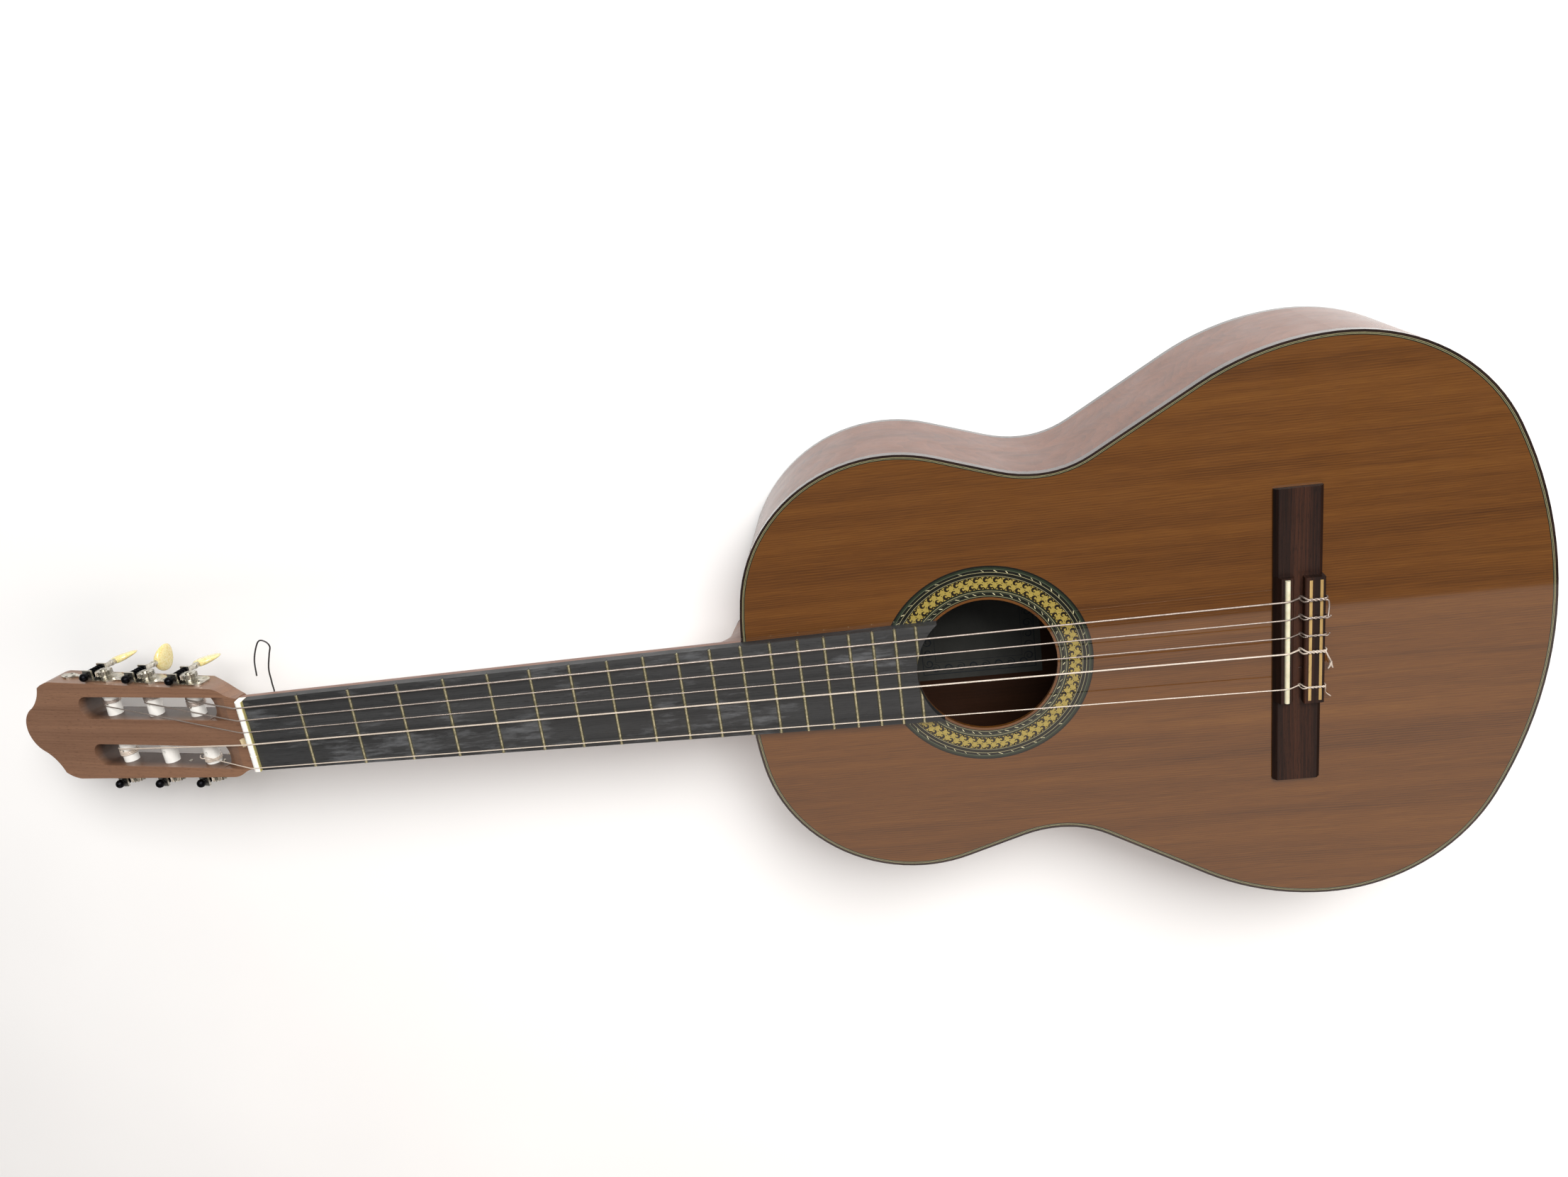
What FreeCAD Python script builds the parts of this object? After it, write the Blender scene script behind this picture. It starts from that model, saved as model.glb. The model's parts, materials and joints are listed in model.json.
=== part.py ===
import FreeCAD, Part
import math
import os
from types import SimpleNamespace

import Sketcher

# Classical guitar, lying on its back.  X runs from the head to the tail, Y to the bass side, Z up through the
# soundboard.  The origin is the middle of the flat back.  All lengths are millimetres, angles degrees.

Vector = FreeCAD.Vector
Placement = FreeCAD.Placement
Rotation = FreeCAD.Rotation

UP = Vector(0, 0, 1)
ACROSS = Vector(0, 1, 0)
ALONG = Vector(1, 0, 0)

SIZES = {
    # sound box; stations are distances from the neck joint towards the tail
    "body_length": 483,
    "body_depth": 96,
    "upper_bout_station": 99,
    "upper_bout_width": 277,
    "waist_station": 188,
    "waist_width": 236,
    "lower_bout_station": 355,
    "lower_bout_width": 362,
    "neck_end_half": 18,
    "neck_end_radius": 239,
    "upper_bout_radius": 94,
    "waist_front_radius": 74,
    "waist_back_radius": 61,
    "lower_bout_radius": 153,
    "tail_radius": 270,
    "top_thick": 2.5,
    "back_thick": 2.8,
    "rib_thick": 2.2,
    "binding_wide": 1.5,
    "top_binding_high": 6,
    "back_binding_high": 5,
    "purfling_wide": 1.5,
    "purfling_deep": 1.2,
    "lining_wide": 6,
    "lining_high": 15,
    "foot_long": 26,
    "foot_half": 30,
    "tail_block_long": 15,
    "tail_block_half": 36,
    # sound hole and rosette
    "hole_station": 149.5,
    "hole_radius": 43,
    "rosette_inner": 44.5,
    "rosette_outer": 64.7,
    "rosette_deep": 1.2,
    "label_long": 86,
    "label_wide": 98,
    "label_thick": 0.25,
    # bracing
    "fan_count": 7,
    "fan_wide": 5,
    "fan_high": 6,
    "fan_start_pitch": 12,
    "fan_end_pitch": 25,
    "fan_end_station": 436,
    "bar_wide": 7,
    "bar_high": 14,
    "bar_gap": 9,
    "patch_thick": 1.5,
    "strip_wide": 16,
    "strip_thick": 2,
    # neck, fingerboard and frets
    "scale_length": 650,
    "board_width_nut": 50.3,
    "board_width_joint": 60.9,
    "board_thick": 6.3,
    "board_over_body": 121,
    "neck_depth_nut": 15.4,
    "neck_depth_joint": 18,
    "neck_side": 2.5,
    "heel_cap_thick": 3,
    "heel_cap_half": 14,
    "heel_cap_long": 17,
    "fret_count": 19,
    "fret_wide": 2.2,
    "fret_high": 1,
    "fret_inset": 0.3,
    "tang_wide": 0.6,
    "tang_deep": 2,
    "nut_long": 5.4,
    "nut_half": 25,
    "nut_high": 8.6,
    "string_over_fret": 0.5,
    # headstock
    "head_tilt": 12.5,
    "head_back": 6.2,
    "head_rise": 2.5,
    "head_thick": 20,
    "head_half_root": 25.5,
    "head_flare_station": 21.5,
    "head_half_flare": 32.3,
    "head_wide_station": 151.5,
    "head_half_wide": 37,
    "head_shoulder_station": 163.5,
    "head_shoulder_half": 32.5,
    "head_crest_station": 174.5,
    "head_crest_half": 17,
    "slot_inner": 9.5,
    "slot_wide": 16.5,
    "slot_start": 21,
    "slot_end": 132,
    "slot_end_flat": 0.75,
    "slot_ramp_start": 10,
    "slot_ramp_angle": 16,
    # machine heads
    "first_roller": 42,
    "roller_pitch": 35,
    "roller_radius": 5,
    "roller_length": 28,
    "roller_clearance": 0.08,
    "spindle_radius": 2,
    "plate_thick": 1.2,
    "plate_half": 7,
    "plate_body_end": 48,
    "plate_tip_end": 72,
    "gear_teeth": 14,
    "worm_lead": 2.2,
    "worm_pitch_radius": 2.6,
    "gear_thick": 3,
    "tooth_out": 0.55,
    "tooth_in": 0.75,
    "shaft_radius": 1.75,
    "shaft_clearance": 0.05,
    "worm_half": 5.4,
    "tab_thick": 1.4,
    "ball_radius": 2.9,
    "button_start": 17.5,
    "button_long": 15.5,
    "button_wide": 21.5,
    "button_thick": 6.4,
    "screw_radius": 1.25,
    "screw_head_radius": 2.3,
    "screw_deep": 8,
    # bridge
    "saddle_setback": 1.5,
    "bridge_long": 188.7,
    "bridge_wide": 28,
    "bridge_front": 6.5,
    "wing_high": 4,
    "tie_half": 40.5,
    "tie_high": 9,
    "tie_start": 16.2,
    "saddle_thick": 3,
    "saddle_half": 39.5,
    "saddle_high": 9.5,
    "saddle_floor": 2.5,
    "string_hole_high": 4.6,
    "string_hole_radius": 0.85,
    "trim_wide": 1.7,
    "trim_deep": 1,
    "trim_half": 38.7,
}

# Strings still on the guitar: number, name, radius, place across at the nut and at the saddle, and roller
# (counted from the nut).  The second string is gone, so its roller is bare.
STRINGS = [
    (6, "sixth", 0.545, 21.2, 26.9, "bass", 1),
    (5, "fifth", 0.445, 12.3, 15.4, "bass", 2),
    (4, "fourth", 0.37, 3.7, 4.0, "bass", 3),
    (3, "third", 0.51, -5.1, -6.4, "treble", 3),
    (1, "first", 0.355, -22.3, -29.6, "treble", 1),
]
SECOND_STRING_SLOT = (0.41, -13.7, -18.0)


class Size:
    """A length worked out from the sheet: its number, and the expression that keeps a property bound to it."""

    def __init__(self, number, text):
        self.number = float(number)
        self.text = text

    def __float__(self):
        return self.number

    def __add__(self, other):
        other = as_size(other)
        return Size(self.number + other.number, f"({self.text} + {other.text})")

    def __radd__(self, other):
        return as_size(other) + self

    def __sub__(self, other):
        other = as_size(other)
        return Size(self.number - other.number, f"({self.text} - {other.text})")

    def __rsub__(self, other):
        return as_size(other) - self

    def __mul__(self, factor):
        factor = as_size(factor)
        return Size(self.number * factor.number, f"({self.text} * {factor.text})")

    def __truediv__(self, divisor):
        divisor = as_size(divisor)
        return Size(self.number / divisor.number, f"({self.text} / {divisor.text})")

    def __neg__(self):
        return Size(-self.number, f"(-{self.text})")


def as_size(value):
    """Let a plain number take part in a sum of sizes."""
    if isinstance(value, Size):
        return value
    return Size(value, repr(float(value)))


def fill_sheet(document):
    """Put every driving size in the spreadsheet, and hand them back as one bundle of Sizes."""
    table = document.addObject("Spreadsheet::Sheet", "sizes")
    for row, (name, number) in enumerate(SIZES.items(), start=1):
        table.set(f"A{row}", name.replace("_", " "))
        table.set(f"B{row}", str(number))
        table.setAlias(f"B{row}", name)
    document.recompute()
    return SimpleNamespace(**{name: Size(table.get(name), f"sizes.{name}") for name in SIZES})


doc = FreeCAD.newDocument("classical_guitar")
c = fill_sheet(doc)
nodes = []

# Places that many pieces share.
joint_x = -(c.body_length / 2)
tail_x = c.body_length / 2
nut_x = joint_x - c.scale_length / 2
hole_x = joint_x + c.hole_station
saddle_x = nut_x + c.scale_length + c.saddle_setback
bridge_x = saddle_x - c.bridge_front
top_under = c.body_depth - c.top_thick
board_top = c.body_depth + c.board_thick
nut_floor = board_top + c.fret_high + c.string_over_fret


# --- helpers for the document's objects ---------------------------------------------------------------------

def bind(obj, prop, size):
    """Tie a property to the sheet."""
    obj.setExpression(prop, as_size(size).text)


def keep(label, obj):
    """Name a finished sub-part; its label is its file's name."""
    obj.Label = label
    nodes.append(obj)
    return obj


def solid_feature(name, shape, placement=None):
    """Hold a shape built in code as an object of the document."""
    feature = doc.addObject("Part::Feature", name)
    feature.Shape = shape
    if placement is not None:
        feature.Placement = placement
    return feature


def box(name, low, high):
    """An axis-aligned box between two corners given as Sizes."""
    block = doc.addObject("Part::Box", name)
    for prop, axis in (("Length", 0), ("Width", 1), ("Height", 2)):
        bind(block, prop, as_size(high[axis]) - low[axis])
    for prop, start in zip(("x", "y", "z"), low):
        bind(block, f"Placement.Base.{prop}", start)
    return block


def cut(name, base, tool):
    """Base with the tool taken away."""
    result = doc.addObject("Part::Cut", name)
    result.Base = base
    result.Tool = tool
    return result


def common(name, base, tool):
    """What base and tool share."""
    result = doc.addObject("Part::Common", name)
    result.Base = base
    result.Tool = tool
    return result


def fuse(name, shapes):
    """Several touching objects as one solid."""
    result = doc.addObject("Part::MultiFuse", name)
    result.Shapes = shapes
    result.Refine = True
    return result


def new_body(name):
    """A PartDesign body."""
    return doc.addObject("PartDesign::Body", name)


def new_sketch(body, name, plane="XY_Plane", lift=None):
    """A sketch on one of the body's own origin planes, lifted along the plane's normal."""
    sketch = body.newObject("Sketcher::SketchObject", name)
    support = next(item for item in body.Origin.OriginFeatures if item.Role == plane)
    sketch.AttachmentSupport = [(support, "")]
    sketch.MapMode = "FlatFace"
    if lift is not None:
        bind(sketch, "AttachmentOffset.Base.z", lift)
    return sketch


def pin_point(sketch, geometry, point, x, y):
    """Fix a sketch point at x and y, bound to the sheet."""
    for kind, axis, place in (("DistanceX", -2, x), ("DistanceY", -1, y)):
        place = as_size(place)
        if place.number == 0:
            sketch.addConstraint(Sketcher.Constraint("PointOnObject", geometry, point, axis))
        else:
            index = sketch.addConstraint(Sketcher.Constraint(kind, -1, 1, geometry, point, place.number))
            bind(sketch, f"Constraints[{index}]", place)


def set_radius(sketch, geometry, radius):
    """Give a circle or arc its radius, bound to the sheet."""
    index = sketch.addConstraint(Sketcher.Constraint("Radius", geometry, as_size(radius).number))
    bind(sketch, f"Constraints[{index}]", radius)


def arc_between(start, end, radius, turn):
    """The short arc from start to end; turn is 1 for a left-hand bend and -1 for a right-hand one."""
    chord = end - start
    reach = math.sqrt(max(radius ** 2 - (chord.Length / 2) ** 2, 0))
    left = Vector(-chord.y, chord.x, 0).normalize()
    centre = (start + end) * 0.5 + left * (reach * turn)
    first, last = (start, end) if turn > 0 else (end, start)
    angles = [math.atan2(point.y - centre.y, point.x - centre.x) for point in (first, last)]
    return Part.ArcOfCircle(Part.Circle(centre, UP, radius), angles[0], angles[1])


def draw_outline(sketch, corners):
    """A closed outline.  A corner is (x, y), or (x, y, radius, turn) where the edge that leaves it is an arc."""
    places = [Vector(float(corner[0]), float(corner[1]), 0) for corner in corners]
    ends = []
    for index, corner in enumerate(corners):
        start, end = places[index], places[(index + 1) % len(places)]
        if len(corner) == 2:
            edge = sketch.addGeometry(Part.LineSegment(start, end))
            ends.append((edge, 1, 2))
        else:
            radius, turn = corner[2], corner[3]
            edge = sketch.addGeometry(arc_between(start, end, float(radius), turn))
            ends.append((edge, 1, 2) if turn > 0 else (edge, 2, 1))
    for index, corner in enumerate(corners):
        edge, first, last = ends[index]
        following, following_first, _ = ends[(index + 1) % len(ends)]
        sketch.addConstraint(Sketcher.Constraint("Coincident", edge, last, following, following_first))
        pin_point(sketch, edge, first, corner[0], corner[1])
        if len(corner) > 2:
            set_radius(sketch, edge, corner[2])


def draw_circle(sketch, x, y, radius):
    """A circle bound to the sheet."""
    edge = sketch.addGeometry(Part.Circle(Vector(float(x), float(y), 0), UP, float(radius)))
    pin_point(sketch, edge, 3, x, y)
    set_radius(sketch, edge, radius)


def pad(body, name, sketch, length, centred=False):
    """Raise a sketch into a solid along its plane's normal."""
    feature = body.newObject("PartDesign::Pad", name)
    feature.Profile = sketch
    feature.Midplane = centred
    bind(feature, "Length", length)
    return feature


def pocket(body, name, sketch, depth, centred=False, reverse=False):
    """Sink a sketch into the body."""
    feature = body.newObject("PartDesign::Pocket", name)
    feature.Profile = sketch
    feature.Midplane = centred
    feature.Reversed = reverse
    bind(feature, "Length", depth)
    return feature


# --- sound box ----------------------------------------------------------------------------------------------

def arc_through(centre, radius, start, end):
    """The short counter-clockwise or clockwise arc about a centre, as a sketch wants it."""
    angles = [math.atan2(point.y - centre.y, point.x - centre.x) for point in (start, end)]
    if (angles[1] - angles[0]) % (2 * math.pi) > math.pi:
        return Part.ArcOfCircle(Part.Circle(centre, UP, radius), angles[1], angles[0]), (2, 1)
    return Part.ArcOfCircle(Part.Circle(centre, UP, radius), angles[0], angles[1]), (1, 2)


def side_points(side):
    """Centres, radii and joints of the arcs on one side of the body, from the neck end to the tail.

    Each bout turns about a centre on its own station; a straight run joins it to the waist.
    """
    joint, tail = float(joint_x), float(tail_x)
    half = float(c.neck_end_half)
    upper = Vector(joint + float(c.upper_bout_station), float(c.upper_bout_width) / 2, 0)
    waist = Vector(joint + float(c.waist_station), float(c.waist_width) / 2, 0)
    lower = Vector(joint + float(c.lower_bout_station), float(c.lower_bout_width) / 2, 0)
    end_radius, tail_radius = float(c.neck_end_radius), float(c.tail_radius)

    run, rise = upper.x - joint, upper.y - half
    shoulder_radius = (run ** 2 + rise ** 2 - 2 * run * end_radius) / (2 * (rise - end_radius))
    run, rise = tail - lower.x, lower.y
    hip_radius = (run ** 2 + rise ** 2 - 2 * run * tail_radius) / (2 * (rise - tail_radius))

    centres = [
        (Vector(joint + end_radius, half, 0), end_radius),
        (upper - Vector(0, shoulder_radius, 0), shoulder_radius),
        (upper - Vector(0, float(c.upper_bout_radius), 0), float(c.upper_bout_radius)),
        (waist + Vector(0, float(c.waist_front_radius), 0), float(c.waist_front_radius)),
        (waist + Vector(0, float(c.waist_back_radius), 0), float(c.waist_back_radius)),
        (lower - Vector(0, float(c.lower_bout_radius), 0), float(c.lower_bout_radius)),
        (lower - Vector(0, hip_radius, 0), hip_radius),
        (Vector(tail - tail_radius, 0, 0), tail_radius),
    ]

    def meeting(first, second):
        (near, near_radius), (far, far_radius) = centres[first], centres[second]
        away = (near - far).normalize() if near_radius < far_radius else (far - near).normalize()
        small = (near, near_radius) if near_radius < far_radius else (far, far_radius)
        return small[0] + away * small[1]

    def straight(convex, concave):
        (out, out_radius), (into, into_radius) = centres[convex], centres[concave]
        between = into - out
        swing = math.acos((out_radius + into_radius) / between.Length)
        angle = math.atan2(between.y, between.x) + math.copysign(swing, between.x)
        normal = Vector(math.cos(angle), math.sin(angle), 0)
        return out + normal * out_radius, into - normal * into_radius

    front = straight(2, 3)
    rear = straight(5, 4)
    joints = [
        (Vector(joint, half, 0), meeting(0, 1)),
        (meeting(0, 1), upper),
        (upper, front[0]),
        (front[1], waist),
        (waist, rear[1]),
        (rear[0], lower),
        (lower, meeting(6, 7)),
    ]

    def turned(point):
        return Vector(point.x, point.y * side, 0)

    arcs = [(turned(centre), radius, turned(ends[0]), turned(ends[1]))
            for (centre, radius), ends in zip(centres, joints)]
    return arcs, turned(meeting(6, 7))


def body_outline():
    """The guitar's plan: seven arcs and two straights on each side, all tangent, closed by a flat and the tail arc."""
    sketch = doc.addObject("Sketcher::SketchObject", "body_outline")
    half, joint, tail = float(c.neck_end_half), float(joint_x), float(tail_x)
    front = sketch.addGeometry(Part.LineSegment(Vector(joint, -half, 0), Vector(joint, half, 0)))
    sketch.addConstraint(Sketcher.Constraint("Vertical", front))
    pin_point(sketch, front, 2, joint_x, c.neck_end_half)
    index = sketch.addConstraint(Sketcher.Constraint("DistanceY", -1, 1, front, 1, -half))
    bind(sketch, f"Constraints[{index}]", -c.neck_end_half)

    hips = [side_points(side)[1] for side in (1, -1)]
    centre = Vector(tail - float(c.tail_radius), 0, 0)
    angles = [math.atan2(point.y, point.x - centre.x) for point in hips]
    rear = sketch.addGeometry(
        Part.ArcOfCircle(Part.Circle(centre, UP, float(c.tail_radius)), angles[1], angles[0]))
    pin_point(sketch, rear, 3, tail_x - c.tail_radius, 0)
    set_radius(sketch, rear, c.tail_radius)

    stations = [joint_x + c.upper_bout_station, joint_x + c.waist_station, joint_x + c.lower_bout_station]
    halves = [c.upper_bout_width / 2, c.waist_width / 2, c.lower_bout_width / 2]

    for side, front_end, rear_end in ((1, 2, 2), (-1, 1, 1)):
        arcs, _ = side_points(side)
        chain = [(front, front_end, front_end)]
        for number, (middle, radius, start, end) in enumerate(arcs):
            if number in (3, 5):
                line = sketch.addGeometry(Part.LineSegment(arcs[number - 1][3], start))
                chain.append((line, 1, 2))
            shape, points = arc_through(middle, radius, start, end)
            chain.append((sketch.addGeometry(shape), points[0], points[1]))
        chain.append((rear, rear_end, rear_end))
        for (edge, _, last), (following, first, _) in zip(chain, chain[1:]):
            sketch.addConstraint(Sketcher.Constraint("Tangent", edge, last, following, first))
        neck_arc, shoulder, upper, _, waist_front, waist_back, _, lower, hip = [item[0] for item in chain[1:-1]]
        set_radius(sketch, neck_arc, c.neck_end_radius)
        set_radius(sketch, upper, c.upper_bout_radius)
        set_radius(sketch, waist_front, c.waist_front_radius)
        set_radius(sketch, waist_back, c.waist_back_radius)
        set_radius(sketch, lower, c.lower_bout_radius)
        for link, station, width in zip((chain[2], chain[5], chain[8]), stations, halves):
            pin_point(sketch, link[0], link[2], station, width if side > 0 else -width)
        for edge, station in ((shoulder, stations[0]), (waist_front, stations[1]), (lower, stations[2])):
            index = sketch.addConstraint(Sketcher.Constraint("DistanceX", -1, 1, edge, 3, float(station)))
            bind(sketch, f"Constraints[{index}]", station)
    return sketch


def inset(source, name, depth):
    """The outline moved inwards."""
    curve = doc.addObject("Part::Offset2D", name)
    curve.Source = source
    bind(curve, "Value", -as_size(depth))
    return curve


def slab(name, source, bottom, top):
    """An outline raised from one height to another."""
    feature = doc.addObject("Part::Extrusion", name)
    feature.Base = source
    feature.DirMode = "Custom"
    feature.Dir = UP
    feature.Solid = True
    bind(feature, "LengthFwd", top)
    bind(feature, "LengthRev", -as_size(bottom))
    return feature


def ring(name, outer, inner, bottom, top):
    """The band between two outlines, from one height to another."""
    return cut(name, slab(f"{name}_outside", outer, bottom, top),
               slab(f"{name}_inside", inner, as_size(bottom) - 1, as_size(top) + 1))


def sound_box():
    """Plates, ribs, linings and edge bands, all from the one outline and its insets."""
    outline = body_outline()
    in_binding = inset(outline, "inside_binding", c.binding_wide)
    in_purfling = inset(outline, "inside_purfling", c.binding_wide + c.purfling_wide)
    in_rib = inset(outline, "inside_rib", c.rib_thick)
    in_lining = inset(outline, "inside_lining", c.rib_thick + c.lining_wide)

    top_band = keep("top_binding", ring(
        "top_band", outline, in_binding, c.body_depth - c.top_binding_high, c.body_depth))
    back_band = keep("back_binding", ring("back_band", outline, in_binding, 0, c.back_binding_high))
    purfling = keep("top_purfling", ring(
        "purfling_band", in_binding, in_purfling, c.body_depth - c.purfling_deep, c.body_depth))
    keep("back_plate", slab("back_sheet", in_binding, 0, c.back_thick))

    wall = ring("wall", outline, in_rib, c.back_thick, top_under)
    wall = cut("wall_rebated", wall, top_band)
    wall = cut("wall_rebated_twice", wall, back_band)
    slot = box("foot_passage", (joint_x - 1, -c.neck_end_half, 0),
               (joint_x + c.rib_thick + 1, c.neck_end_half, c.body_depth))
    wall = cut("wall_slotted", wall, slot)
    for label, low, high in (("rib_bass", 0, c.body_length), ("rib_treble", -c.body_length, 0)):
        half = box(f"{label}_side", (-c.body_length, low, 0), (c.body_length, high, c.body_depth))
        keep(label, common(f"{label}_half", wall, half))

    inside = slab("inside", in_rib, c.back_thick, top_under)
    block = box("tail_block_blank", (tail_x - c.rib_thick - c.tail_block_long, -c.tail_block_half, 0),
                (tail_x, c.tail_block_half, c.body_depth))
    tail_block = keep("tail_block", common("tail_block_fitted", inside, block))
    foot = common("foot", inside, box(
        "foot_blank", (joint_x, -c.foot_half, 0),
        (joint_x + c.rib_thick + c.foot_long, c.foot_half, c.body_depth)))

    low_band = ring("back_lining", in_rib, in_lining, c.back_thick, c.back_thick + c.lining_high)
    high_band = ring("top_lining", in_rib, in_lining, top_under - c.lining_high, top_under)
    bands = doc.addObject("Part::Compound", "lining_bands")
    bands.Links = [low_band, high_band]
    keep("linings", cut("linings_fitted", cut("linings_to_foot", bands, foot), tail_block))

    top = slab("top_sheet", in_binding, top_under, c.body_depth)
    top = cut("top_with_purfling_channel", top, purfling)
    hole = sound_hole(top_under - 1, c.body_depth + 1)
    top = cut("top_with_hole", top, hole)
    rosette = keep("rosette", rosette_ring())
    keep("soundboard", cut("top_with_rosette_channel", top, rosette))

    lined = slab("inside_linings", in_lining, c.back_thick, top_under)
    keep("top_braces", common("top_braces_fitted", top_bracing(), lined))
    keep("back_braces", common("back_braces_fitted", back_bracing(), lined))
    return SimpleNamespace(top_band=top_band, back_band=back_band, foot=foot)


def sound_hole(bottom, top):
    """The plug of air that goes through the sound hole."""
    plug = doc.addObject("Part::Cylinder", "hole_plug")
    bind(plug, "Radius", c.hole_radius)
    bind(plug, "Height", as_size(top) - bottom)
    bind(plug, "Placement.Base.x", hole_x)
    bind(plug, "Placement.Base.z", bottom)
    return plug


def rosette_ring():
    """The inlaid ring round the sound hole."""
    body = new_body("rosette_body")
    sketch = new_sketch(body, "rosette_sketch", lift=c.body_depth - c.rosette_deep)
    draw_circle(sketch, hole_x, 0, c.rosette_outer)
    draw_circle(sketch, hole_x, 0, c.rosette_inner)
    pad(body, "rosette_pad", sketch, c.rosette_deep)
    return body


def brace(start, end, wide, high, root, down):
    """A glued bar from one plan point to another: straight sides, then a ridge at the free edge."""
    run = end - start
    aside = Vector(-run.y, run.x, 0).normalize() * (wide / 2)
    shoulder = down * (high * 0.45)
    corners = [start - aside, start + aside, start + aside + shoulder, start + down * high,
               start - aside + shoulder]
    corners = [corner + UP * root for corner in corners]
    return Part.Face(Part.makePolygon(corners + corners[:1])).extrude(run)


def top_bracing():
    """Two bars across, one each side of the sound hole, the bridge patch, and the fan notched over it."""
    root = float(top_under)
    half = float(c.lower_bout_width) / 2
    bar = (float(c.bar_wide), float(c.bar_high))
    reach = float(c.hole_radius + c.bar_gap + c.bar_wide / 2)
    bars = [brace(Vector(float(hole_x) + side * reach, -half, 0), Vector(float(hole_x) + side * reach, half, 0),
                  *bar, root, -UP) for side in (-1, 1)]
    patch = Part.makeBox(float(c.bridge_wide), float(c.bridge_long), float(c.patch_thick),
                         Vector(float(bridge_x), -float(c.bridge_long) / 2, root - float(c.patch_thick)))
    fan_start = float(hole_x) + reach + bar[0] / 2
    fan_end = float(joint_x + c.fan_end_station)
    middle = (int(float(c.fan_count)) - 1) / 2
    fans = []
    for index in range(int(float(c.fan_count))):
        spread = index - middle
        strut = brace(Vector(fan_start, spread * float(c.fan_start_pitch), 0),
                      Vector(fan_end, spread * float(c.fan_end_pitch), 0),
                      float(c.fan_wide), float(c.fan_high), root, -UP)
        fans.append(strut.cut(patch))
    return solid_feature("top_bracing", Part.makeCompound(bars + [patch] + fans))


def back_bracing():
    """Three bars across the back and a grain strip along the join between them."""
    root = float(c.back_thick)
    half = float(c.lower_bout_width) / 2
    wide, high = float(c.bar_wide), float(c.bar_high)
    stations = [float(joint_x + c.upper_bout_station) - 20,
                float(joint_x + c.waist_station) + 30,
                float(joint_x + c.lower_bout_station) + 10]
    pieces = [brace(Vector(x, -half, 0), Vector(x, half, 0), wide, high, root, UP) for x in stations]
    label_end = float(hole_x + c.label_long / 2)
    starts = [float(joint_x + c.rib_thick + c.foot_long)] + [x + wide / 2 for x in stations]
    ends = [x - wide / 2 for x in stations] + [float(tail_x - c.rib_thick - c.tail_block_long)]
    for start, end in zip(starts, ends):
        if start < float(hole_x) < end:
            start = label_end
        pieces.append(Part.makeBox(end - start, float(c.strip_wide), float(c.strip_thick),
                                   Vector(start, -float(c.strip_wide) / 2, root)))
    return solid_feature("back_bracing", Part.makeCompound(pieces))


def paper_label():
    """The label pasted inside the back, under the sound hole."""
    return box("label_paper", (hole_x - c.label_long / 2, -c.label_wide / 2, c.back_thick),
               (hole_x + c.label_long / 2, c.label_wide / 2, c.back_thick + c.label_thick))


# --- neck ---------------------------------------------------------------------------------------------------

def board_half(x):
    """Half the fingerboard's width at a place along the guitar."""
    slope = (float(c.board_width_joint) - float(c.board_width_nut)) / (float(joint_x) - float(nut_x))
    return (float(c.board_width_nut) + slope * (x - float(nut_x))) / 2


def neck_section(x, depth):
    """The neck's D: flat on top, short upright sides, half an ellipse below."""
    half, top, side = board_half(x), float(c.body_depth), float(c.neck_side)
    shoulder = top - side
    bottom = Part.Ellipse(Vector(x, 0, shoulder), half, depth - side)
    bottom.Axis, bottom.XAxis = ALONG, ACROSS
    curve = Part.Arc(bottom, math.pi, 2 * math.pi)
    low = curve.value(curve.FirstParameter)
    high = curve.value(curve.LastParameter)
    edges = [curve.toShape(),
             Part.makeLine(high, high + UP * side),
             Part.makeLine(high + UP * side, low + UP * side),
             Part.makeLine(low + UP * side, low)]
    return Part.Wire(edges)


def heel_section(z, half, reach):
    """A level slice of the heel: flat against the body, half an ellipse in front."""
    centre = Vector(float(joint_x), 0, z)
    if reach > half:
        nose = Part.Ellipse(centre, reach, half)
        nose.XAxis = -ALONG
        curve = Part.Arc(nose, -math.pi / 2, math.pi / 2)
    else:
        nose = Part.Ellipse(centre, half, reach)
        nose.XAxis = ACROSS
        curve = Part.Arc(nose, 0, math.pi)
    first, last = curve.value(curve.FirstParameter), curve.value(curve.LastParameter)
    return Part.Wire([curve.toShape(), Part.makeLine(last, first)])


def head_placement():
    """The headstock's own frame: X towards the body, Y to the bass side, Z out of its face."""
    root = Vector(float(nut_x - c.head_back), 0, float(c.body_depth + c.head_rise))
    return Placement(root, Rotation(ACROSS, -float(c.head_tilt)))


# Slices of the heel: height above its cap as a share of the rest, share of the widening to the fingerboard's
# width, and reach under the neck in lengths of the cap.
HEEL_SLICES = [(0, 0, 1), (0.3, 0.2, 1.1), (0.6, 0.52, 1.45), (0.8, 0.76, 2.3), (0.93, 0.86, 4.2)]


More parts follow.
